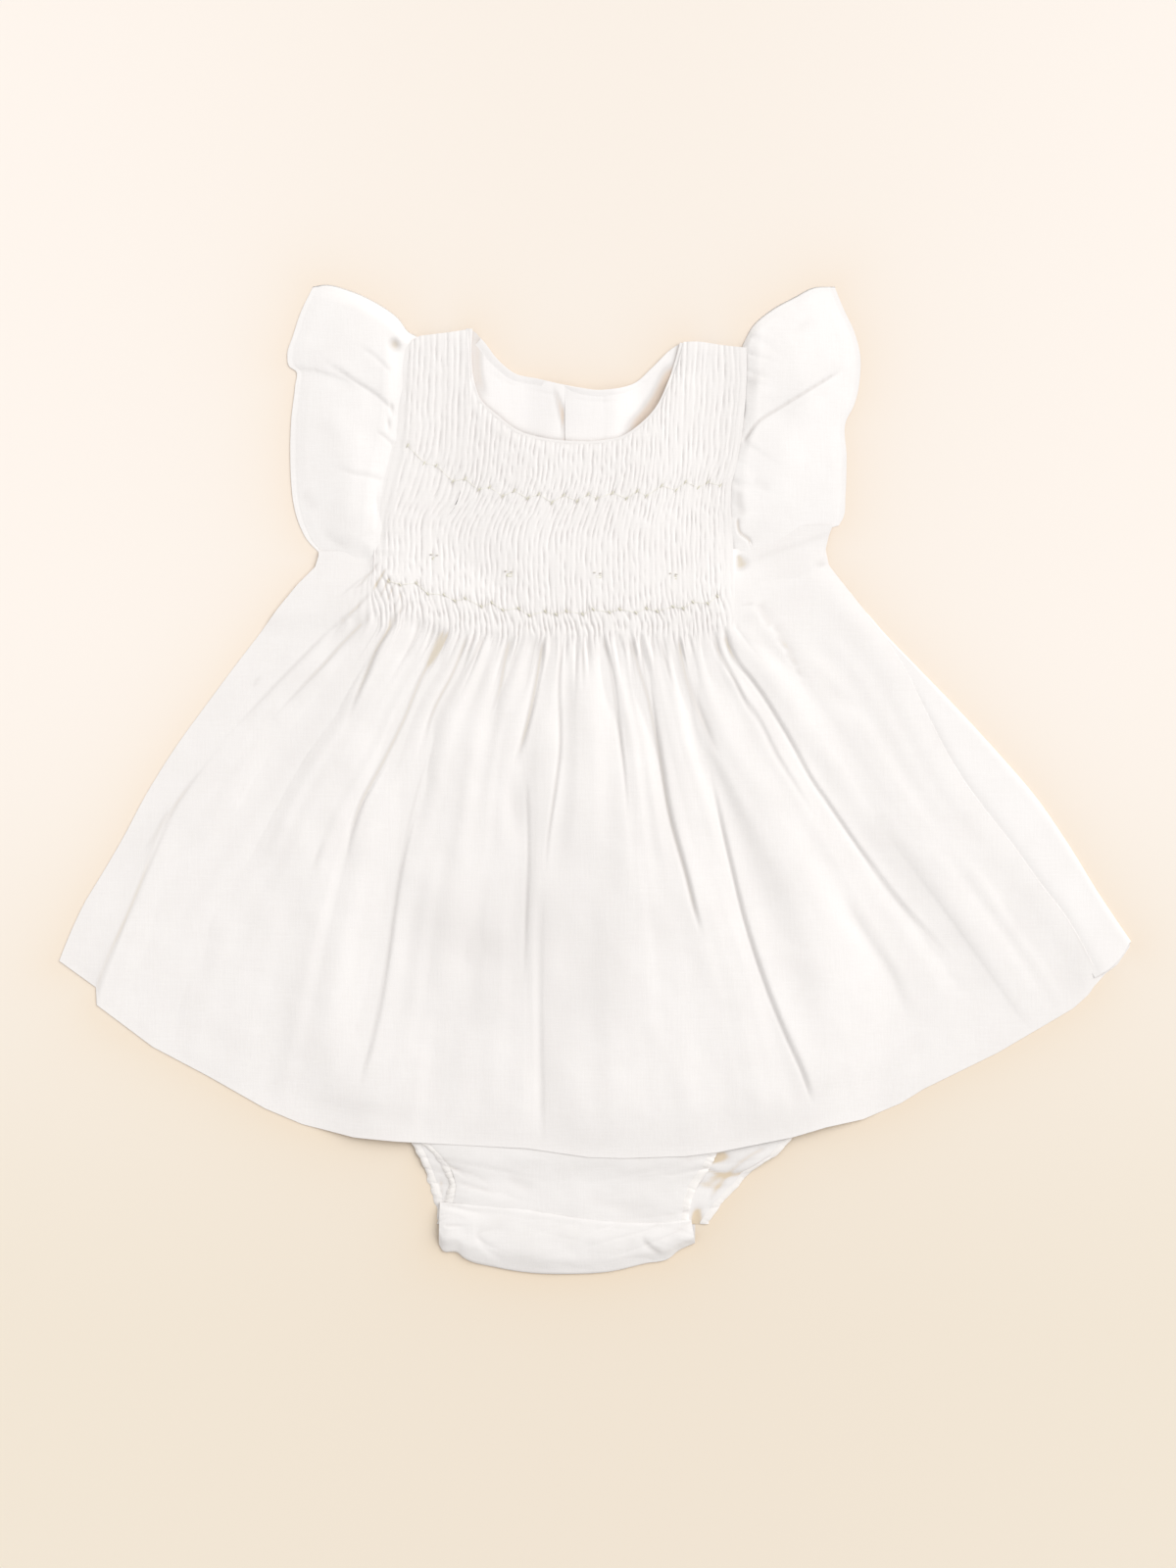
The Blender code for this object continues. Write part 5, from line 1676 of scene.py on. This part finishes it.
LEFT_SLEEVE = Sleeve(
    name="sleeve_left",
    armhole=((-91.5, 226.5), (-96.5, 219), (-98.3, 205), (-100.2, 184.5), (-101.5, 174), (-107, 153),
             (-109.2, 137), (-110.3, 124), (-113.5, 110.5)),
    shoulder=((-91.5, 226.5), (-96, 229), (-101, 235.5), (-112, 243.5), (-126, 250), (-139, 253),
              (-145, 252)),
    edge=((-145, 252), (-151, 239.5), (-155, 227.5), (-158, 217), (-157, 211.5), (-153.5, 209),
          (-154, 201.5), (-156, 184.5), (-156.5, 168), (-156, 152), (-155, 142.5), (-152, 131), (-148, 123),
          (-142, 116.5)),
    underarm=((-113.5, 110.5), (-119, 111), (-124, 109.5), (-132, 111.5), (-142, 116.5)),
    lifts=((0, 0.5), (0.09, 2.2), (0.2, 2.8), (0.27, 2.6), (0.34, 2.1), (0.42, 2.2), (0.6, 2.6), (0.8, 2.2),
           (1, 0.2)),
    side=LEFT,
    seed=61,
    folds=(
        Crease(((-142, 217), (-136, 212), (-129, 207.5), (-121.5, 202.5), (-113, 197), (-104, 189)),
               0.5, 0.7, 1.1, 12, 0.4, 0.1, 0.2, hollow=0.1),
        Crease(((-123, 223), (-114, 217), (-108, 211.5), (-104, 207)), 0.4, 0.4, 1.3, 7, 0.4, 0.2, 0.2),
        Crease(((-113, 178.5), (-109, 176), (-103, 171)), 0.6, 0.4, 1.1, 6, 0.3, 0.1, 0.3),
        Crease(((-135, 160), (-124, 156.5), (-115, 155), (-108, 153)), 0.5, 0.4, 1.5, 9, 0.4, 0.1, 0.2),
        Crease(((-151, 149.5), (-147, 143), (-142, 135)), 0.5, 0.2, 5, 9, 0.3, 0.4, 0.2),
        Crease(((-144, 186), (-136, 176), (-129, 164)), 0.4, 0.2, 6, 9, 0.3, 0.4, 0.12),
        Crease(((-141, 127.5), (-134, 122.5), (-124, 117.5)), 0.4, 0.2, 2.6, 8, 0.3, 0.4, 0.18),
        Pit((-103, 222.4), (2.4, 3), 1.2, 0.85, 0.5),
        Pit((-104.5, 190), (1, 2.6), 0.5, 0.3, 0.1),
        Pit((-106, 182), (1, 3), 0.5, 0.3, 0.1),
        Pit((-112, 141), (0.9, 5.5), 0.3, 0.12, 0),
    ),
)
RIGHT_SLEEVE = Sleeve(
    name="sleeve_right",
    armhole=((74.8, 222.5), (73.5, 203), (72.7, 185), (72, 172), (67.6, 161), (66.5, 146), (66.5, 132),
             (68, 110.5)),
    shoulder=((74.8, 222.5), (80, 232), (90, 240.5), (101, 246.5), (111, 251.5), (122, 252)),
    edge=((122, 252), (126, 242), (132, 229), (135, 217), (135, 208), (131, 190), (128, 184.5), (128, 165),
          (127.4, 145.5), (126.3, 134.3), (124, 130.2)),
    underarm=((68, 110.5), (75, 112), (81, 115.5), (87, 117.5), (98, 122), (110, 126), (124, 130.2)),
    lifts=((0, 0.5), (0.09, 2.2), (0.2, 3), (0.34, 3.4), (0.42, 2), (0.5, 2.1), (0.65, 2.4), (0.85, 1.4),
           (1, 0.2)),
    side=RIGHT,
    seed=71,
    folds=(
        Crease(((74.8, 172), (81.7, 182), (93.7, 190), (105.7, 197.4), (114.7, 203), (127, 210.5)),
               1, 1.1, 1.1, 11, 0.05, 0.2, 0.65, side=LEFT, hollow=0.3),
        Crease(((74.5, 196), (75.3, 190), (74.8, 184)), 0.8, 0.2, 1, 4, 0.2, 0.2, 0.6),
        Crease(((77, 195), (80, 203), (86, 212)), 0.8, 0.3, 3.5, 8, 0.3, 0.4, 0.25, side=LEFT),
        Crease(((72, 150), (73, 143), (74, 138), (76, 133)), 0.8, 0.3, 3, 7, 0.3, 0.3, 0.35),
        Crease(((78, 154), (84, 151), (90, 146)), 0.7, 0.3, 4, 8, 0.3, 0.4, 0.2),
        Crease(((72, 134), (73.3, 126.5), (78, 122.7), (79.5, 118)),
               1.4, 1, 0.8, 3.5, 0.1, 0.2, 1.3, side=LEFT),
        Pit((73, 114.4), (2.6, 1.6), 1.5, 1.3),
        Pit((73.6, 110.8), (3.4, 2.2), 0.8, 0.8, 0.4),
        Pit((104, 230), (6, 3), 0.5, 0.1, 0.6),
    ),
)


# ---- bloomer

SEAM_LINE: Line = (
    (-80, -216.5), (-68, -217.5), (-45, -219), (-26, -222), (2, -226), (36, -226.8), (48.5, -225.5),
)
FOLD_LINE: Line = (
    (-80.5, -237), (-78.5, -240.5), (-71, -241.5), (-68, -244), (-51, -249), (-31, -252), (-13, -252.4),
    (8, -251), (25, -247), (37, -244.5), (42, -240.5), (50.5, -236.5),
)


@dataclass
class Bloomer:
    """The bloomer: two panels, gathered leg edges and a folded crotch gusset."""

    casing: float = 4.5
    leg_start: float = -148.0
    crotch_y: float = -227.0
    left_seed: int = 81
    right_seed: int = 86

    @staticmethod
    def height(y: Array, layer: Layer) -> Array:
        """Underside of a layer: over the back skirt, then down past its hem."""
        return layer.value * LAYER - LAYER * smooth((-192 - y) / 14)

    @staticmethod
    def gathers(seed: int, along: Array, inward: Array) -> Pair:
        """Lobes along a leg edge, narrow ones beside it and wide ones that reach further in.

        Args:
            seed: first number of the random draws.
            along, inward: distances along the edge and in from it.

        Returns:
            Relief and shade.
        """
        free = np.maximum(inward, 0)
        lobes = billow(seed, 2.7, 26, along - 0.3 * inward, inward)
        wide = billow(seed + 1, 6.5, 40, along + 0.25 * inward, inward)
        near, far = np.exp(-free / 9), np.exp(-free / 24)
        relief = 0.45 * near * (lobes - 0.5) + 1.2 * far * (wide - 0.5)
        return relief, 0.2 * near * (1 - lobes) ** 3 + 0.4 * far * (1 - wide) ** 4

    def beside_leg(self, edge: LegEdge, y: Array, inward: Array) -> Pair:
        """Gathers of one leg edge, weaker on the back, where the front panel also draws them down."""
        relief, shade = self.gathers(80 + edge.column, y, inward)
        if edge.layer is Layer.BACK:
            return 0.3 * relief, shade
        return 0.7 * relief - 0.75 * np.exp(-np.maximum(inward, 0) / 6), shade

    def panel(self, layer: Layer, folds: Folds) -> Item:
        """Front or back panel between its leg edges, gathered beside them.

        Args:
            layer: which panel.
            folds: what is pressed into it.

        Returns:
            The sheet.
        """
        shares = np.r_[np.linspace(0, 0.79, 40)[:-1], np.linspace(0.79, 1, 64)]
        across = even(150)
        front = layer is Layer.FRONT
        seam = np.interp(np.linspace(-79, 48, len(across)), *np.array(SEAM_LINE).T) - 1.8
        y = 84 + ((seam if front else np.full_like(seam, self.crotch_y)) - 84) * shares[:, None]
        inset = np.where(y <= self.leg_start, self.casing - 0.5, 0)
        edges = [edge for edge in LegEdge if edge.layer is layer]
        left, right = (bloomer_edge(edge, y) + edge.inwards * inset for edge in edges)
        x = left + (right - left) * across
        base = self.height(y, layer)
        cloth = Cloth(x, y, base + 0.75)
        legs = ramp(y, self.leg_start, -14)
        for edge in edges:
            inward = edge.inwards * (x - bloomer_edge(edge, y))
            relief, shade = self.beside_leg(edge, y, inward)
            cloth.z += (relief - 0.1 * np.exp(-np.maximum(inward - self.casing + 0.5, 0))) * legs
            cloth.shade += shade * legs
        cloth.press(Crumple(82, 22, 12, 0.5), Crumple(83, 8, 6, 0.14), share=smooth((-184 - y) / 14))
        cloth.press(*folds)
        cloth.z = np.maximum(cloth.z, base - 0.35 if front else base + 0.3)
        name = f"bloomer_{layer.name.lower()}_cloth"
        return thicken(sheet_object(name, bordered(cloth.grid()), BLOOMER_LINEN), 0.2)

    def leg_edge(self, edge: LegEdge) -> Item:
        """A gathered leg edge: a narrow strip whose outer side is scalloped and rolls down.

        Args:
            edge: which one.

        Returns:
            The sheet.
        """
        y_line = np.linspace(self.leg_start, self.crotch_y, 260)
        inward = np.linspace(0, self.casing, 9)[::edge.inwards]
        lobes = billow(80 + edge.column, 2.7, 26, y_line, np.zeros_like(y_line))
        scallop = 0.4 * (0.55 - lobes) + Crumple(90 + edge.column, 5, 5, 0.7).at(y_line, y_line)
        line = bloomer_edge(edge, y_line)[:, None]
        x = line + edge.inwards * (inward + scallop[:, None] * np.exp(-inward / 2.5))
        y = np.broadcast_to(y_line[:, None], x.shape)
        crown = np.sin(math.pi / 2 * np.clip(inward / 1.6, 0, 1))
        relief, shade = self.gathers(80 + edge.column, y, np.broadcast_to(inward, y.shape))
        front = edge.layer is Layer.FRONT
        base = self.height(y, edge.layer)
        z = base + 0.15 + 0.6 * crown + (0.7 if front else 0.3) * relief * (0.35 + 0.65 * crown)
        z = np.maximum(z, base + 0.1) - 0.75 * front * np.exp(-inward / 6)
        cloth = Cloth(x, y, z - 0.15 * smooth(inward - 3), shade)
        name = f"leg_edge_{edge.name.lower()}"
        return thicken(sheet_object(name, bordered(cloth.grid()), LEG_LINEN), 0.1)

    def gusset(self) -> Item:
        """The gusset: front half from the crotch seam to the fold, back half under it.

        Returns:
            The sheet.
        """
        across = even(170)
        seam, fold = curve(SEAM_LINE, across), curve(FOLD_LINE, across)
        seam[:, 1] += 0.9
        down = even(44)[:, None, None]
        x, y = np.moveaxis(seam + (fold - seam) * down, -1, 0)
        share = down[..., 0]
        cloth = Cloth(x, y, LAYER + 1 + 1.2 * np.sin(math.pi * share) ** 0.7)
        cloth.z += 0.15 * bell(share - 0.05, 0.05) - 1.3 * smooth((share - 0.7) / 0.3)
        cloth.press(Crumple(101, 22, 9, 0.5), Crumple(102, 7, 5, 0.14))
        for seed, inward in ((self.left_seed, x - x[:, :1]), (self.right_seed, x[:, -1:] - x)):
            relief, shade = self.gathers(seed, y, inward)
            cloth.z += 1.1 * relief * smooth(share * 8) - np.exp(-inward / 4)
            cloth.shade += shade
        cloth.press(*GUSSET_FOLDS)
        cloth.z = np.maximum(cloth.z, 0.85)
        back_y = fold[:, 1] + 0.8 + (-228 - fold[:, 1]) * even(8)[:, None]
        middle = [Cloth(fold[None, :, 0], fold[None, :, 1] - out, height).grid()
                  for out, height in ((0.1, 0.9), (0.15, 0.7), (0.1, 0.5))]
        grid = np.concatenate([cloth.grid()[:-1], *middle, Cloth(fold[:, 0], back_y, 0.4).grid()])
        return thicken(sheet_object("gusset_cloth", bordered(grid), BLOOMER_LINEN), 0.2)


GUSSET_FOLDS = (
    Crease(((22, -233), (29, -240), (35, -243)), 1.2, 1.1, 1.9, 6, 0.3, 0.3, 0.35),
    Crease(((-62, -223), (-58, -237), (-44, -247)), 0.5, 0.5, 2.4, 7, 0.4, 0.4, 0.1, side=LEFT),
    Crease(((-78, -227.5), (-67, -227.5)), 1, 0.5, 1, 4, 0.1, 0.5, 0.4, side=LEFT),
)
FRONT_PANEL_FOLDS = (
    Crease(((-10, -212), (12, -218), (35, -220.5)), 0.9, 0.3, 4, 8, 0.3, 0.3, 0.22),
    Crease(((-48, -202), (-40, -206), (-31, -210.5)), 0.9, 0.3, 3.5, 7, 0.3, 0.3, 0.25),
    Crease(((-73, -205), (-62, -208), (-48, -212)), 1, 0.5, 1.4, 6, 0.2, 0.4, 0.4),
    Crease(((-84, -194), (-72, -199), (-64, -204)), 0.9, 0.5, 1.2, 5, 0.1, 0.4, 0.35, side=LEFT),
)
BACK_PANEL_FOLDS = (
    Crease(((54, -198), (66, -202), (78, -200), (88, -197)), 1.2, 0.9, 1.5, 5, 0.1, 0.2, 0.9),
    Crease(((52, -192), (60, -193), (68, -190)), 1.2, 0.3, 2.6, 5, 0.1, 0.2, 0.9),
    Crease(((50, -205), (60, -208), (70, -206)), 0.9, 0.6, 2, 5, 0.1, 0.4, 0.6),
    Crease(((50, -230), (50, -224), (53, -219)), 0.9, 0.4, 1.8, 5, 0.1, 0.3, 0.9),
    Crease(((-80, -202), (-79, -208), (-79.5, -214)), 0.3, 0.1, 1.4, 5, 0.1, 0.3, 0.5),
    Crease(((89, -186.5), (80, -191), (73.3, -195.7), (67, -202), (61.5, -208.9), (56, -217)),
           1, 0.9, 1.5, 5, 0.15, 0.2, 0.75),
    Pit((60, -193.4), (6.5, 2.4), 0.4, 1.2, 0.15),
    Pit((61, -203.8), (6.5, 2.2), 0.4, 0.6, 0.5),
    Pit((51.5, -224.5), (2.6, 5.5), 0.4, 1.2, 0),
)


# ---- buttons


@dataclass
class Buttons:
    """Flat buttons on the outside of the back."""

    x: float = -8.0
    ys: tuple[float, ...] = (182, 148, 114)
    profile: Line = ((0, 1.12), (1, 1.1), (2.4, 0.98), (3.5, 0.9), (4.1, 1.05), (4.6, 1.15), (4.9, 0.95),
                     (5, 0.6), (4.85, 0.25), (4.4, 0.05), (2, 0.05), (0, 0.05))

    def build(self) -> list[Item]:
        """Each is a profile turned round its middle: a dished face with a raised rim.

        Returns:
            The buttons, from the neck down.
        """
        radius, height = np.array(self.profile).T[..., None]
        angles = np.linspace(0, 2 * math.pi, 49)
        return [sheet_object(f"pearl_button_{number}", np.dstack([
            self.x + radius * np.cos(angles), y + radius * np.sin(angles), height + 0 * angles]), PEARL)
            for number, y in enumerate(self.ys, start=1)]


# ---- studio


@dataclass
class Studio:
    """Pale floor, soft light from the upper right and a camera straight above."""

    field_height: float = 0.800
    centre: tuple[float, float] = (-0.00425, -0.002)
    distance: float = 1.6
    focus_height: float = 0.004
    fill: float = 0.505
    # Each lamp's name, the place it shines from, how wide it looks and its power
    lamps: tuple = (("key", (1, 0.7, 1), 1, 2.35), ("side", (-1, -0.1, 1), 1.5, 0.45))
    # Edges of the dress; the paper's painted shadow grows towards them
    outline: tuple[Line, ...] = (
        LEFT_EDGE, HEM, RIGHT_EDGE, LEFT_SLEEVE.edge, LEFT_SLEEVE.shoulder, RIGHT_SLEEVE.edge,
        RIGHT_SLEEVE.shoulder, BACK_NECK_LEFT, BACK_NECK_RIGHT, FOLD_LINE,
        ((-95, -184), (-87.5, -200), (-81, -226)), ((99.5, -184), (79, -200), (57.5, -226)))

    def floor(self) -> Item:
        """A large sheet of paper, a touch below the dress, with a painted shadow that grows towards the
        cloth.

        Returns:
            The floor, which isn't part of the dress.
        """
        x_line = np.r_[-1500, -900, -500, np.linspace(-340, 340, 130), 500, 900, 1500]
        y_line = np.r_[1500, 900, 560, np.linspace(440, -440, 160), -560, -900, -1500]
        x, y = np.meshgrid(x_line, y_line)
        # painted shadow: warm shade on the paper, strongest at the dress's edges
        away = np.min([away_from(line, x, y) for line in self.outline], axis=0)
        item = sheet_object("floor", Cloth(x, y, -0.02, 0.75 * np.exp(-away / 16)).grid(), self._paper())
        return item

    @staticmethod
    def _paper() -> bpy.types.Material:
        """Matte cream paper with painted light, lighter at its sides and top, and a painted shadow near the
        cloth.

        Returns:
            The material.
        """
        material = plain_material("cream_paper", 0.95, 0.1)
        nodes = Nodes(material.node_tree)
        shader = material.node_tree.nodes["Principled BSDF"]
        place = nodes.add("ShaderNodeTexCoord")
        split = nodes.add("ShaderNodeSeparateXYZ", Vector=place.outputs["Object"])
        # painted light: the paper is lighter towards its sides and its top, and darker and warmer towards the
        # bottom
        side = nodes.ranged(nodes.maths("ABSOLUTE", split.outputs["X"], 0), 0.02, 0.31)
        top = nodes.mixed(side, (0.893, 0.821, 0.746), (0.925, 0.858, 0.795))
        bottom = nodes.mixed(side, (0.815, 0.727, 0.612), (0.825, 0.742, 0.625))
        tone = nodes.mixed(nodes.ranged(split.outputs["Y"], -0.31, 0.1), bottom, top)
        # painted shadow: the shade attribute warms and darkens the paper near the cloth
        shade = nodes.add("ShaderNodeAttribute", attribute_name="shade")
        near = nodes.maths("MULTIPLY", shade.outputs["Fac"], 0.8)
        painted_shadow = nodes.mixed(near, tone, (0.97, 0.89, 0.79), "MULTIPLY")
        nodes.put(painted_shadow, shader.inputs["Base Color"])
        return material

    def lights(self) -> None:
        """A soft lamp at the upper right, a weaker and softer one at the left, and even fill."""
        for name, spot, spread, power in self.lamps:
            lamp = bpy.data.lights.new(name, "SUN")
            lamp.angle = spread
            lamp.energy = power
            item = bpy.data.objects.new(name, lamp)
            item.location = spot
            x, y, z = spot
            item.rotation_euler = (math.atan2(math.hypot(x, y), z), 0, math.atan2(-y, -x) - math.pi / 2)
            bpy.context.scene.collection.objects.link(item)
        world = bpy.data.worlds.new("studio")
        world.use_nodes = True
        world.node_tree.nodes["Background"].inputs["Color"].default_value = (1, 0.99, 0.98, 1)
        world.node_tree.nodes["Background"].inputs["Strength"].default_value = self.fill
        bpy.context.scene.world = world
        bpy.context.scene.view_settings.view_transform = "Standard"

    def camera(self) -> None:
        """Straight down, framed so that the field has its height at the cloth."""
        data = bpy.data.cameras.new("camera")
        data.sensor_fit = "VERTICAL"
        data.sensor_height = 32
        data.lens = data.sensor_height * self.distance / self.field_height
        item = bpy.data.objects.new("camera", data)
        item.location = (*self.centre, self.distance + self.focus_height)
        bpy.context.scene.collection.objects.link(item)
        bpy.context.scene.camera = item


# ---- putting it together


class Held(Enum):
    """How a sheet of cloth is held in its shape."""

    LAID = "laid"
    GATHERED = "gathered"
    FOLDED = "folded"


@dataclass(frozen=True)
class Cut:
    """What a sheet was cut to before it was sewn, in metres and square metres, and what it lies on."""

    width: float
    length: float
    area: float
    held: Held
    rests_on: tuple[str, ...] = ()


def place(item: Item, nodes: Sequence[str], finish: Finish, trims: Sequence[Item] = ()) -> Item:
    """Args:
        item: the piece.
        nodes: the solids that it stands for.
        finish: not used.
        trims: not used.

    Returns:
        The piece.
    """
    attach(item, "root")
    if nodes:
        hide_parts(*nodes)
    LOG.info("%s: %d faces, %.4f square metres", item.name, len(item.data.polygons), area_of(item))
    return item


def main() -> None:
    """Build the studio, then the dress piece by piece."""
    logging.basicConfig(level=logging.INFO, format="%(name)s: %(message)s")
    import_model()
    studio = Studio()
    studio.camera()
    studio.floor()
    studio.lights()

    front = Front(folds=FRONT_FOLDS)
    front_cloth = front.build()
    threads = Threads(front)
    stitches, knots = place(threads.rows(), [], THREAD), place(threads.knot_pieces(), [], KNOT)
    place(front_cloth, ["front"], SMOCKED, trims=(stitches, knots))
    place(BackSkirt().build(), ["back_skirt"], LINEN)
    for bodice in BODICES:
        place(bodice.build(), [bodice.name], LINEN)
    edges = NeckEdges()
    place(edges.binding(), ["neck_binding_front"], BINDING)
    place(edges.facing("facing_left", BACK_NECK_LEFT, (0.08, 0.62), False), ["neck_facing_left"], BINDING)
    place(edges.facing("facing_right", BACK_NECK_RIGHT, (0.005, 0.9), True), ["neck_facing_right"], BINDING)
    for sleeve in (LEFT_SLEEVE, RIGHT_SLEEVE):
        place(sleeve.build(), [sleeve.name], LINEN)
    bloomer = Bloomer()
    place(bloomer.panel(Layer.BACK, BACK_PANEL_FOLDS), ["bloomer_back"], LINEN)
    place(bloomer.panel(Layer.FRONT, FRONT_PANEL_FOLDS), ["bloomer_front"], LINEN)
    for edge in LegEdge:
        place(bloomer.leg_edge(edge), [f"leg_casing_{edge.name.lower()}"], BINDING)
    place(bloomer.gusset(), ["bloomer_gusset"], LINEN)
    for number, button in enumerate(Buttons().build(), start=1):
        place(button, [f"button_{number}"], PEARL)


if __name__ == "__main__":
    main()
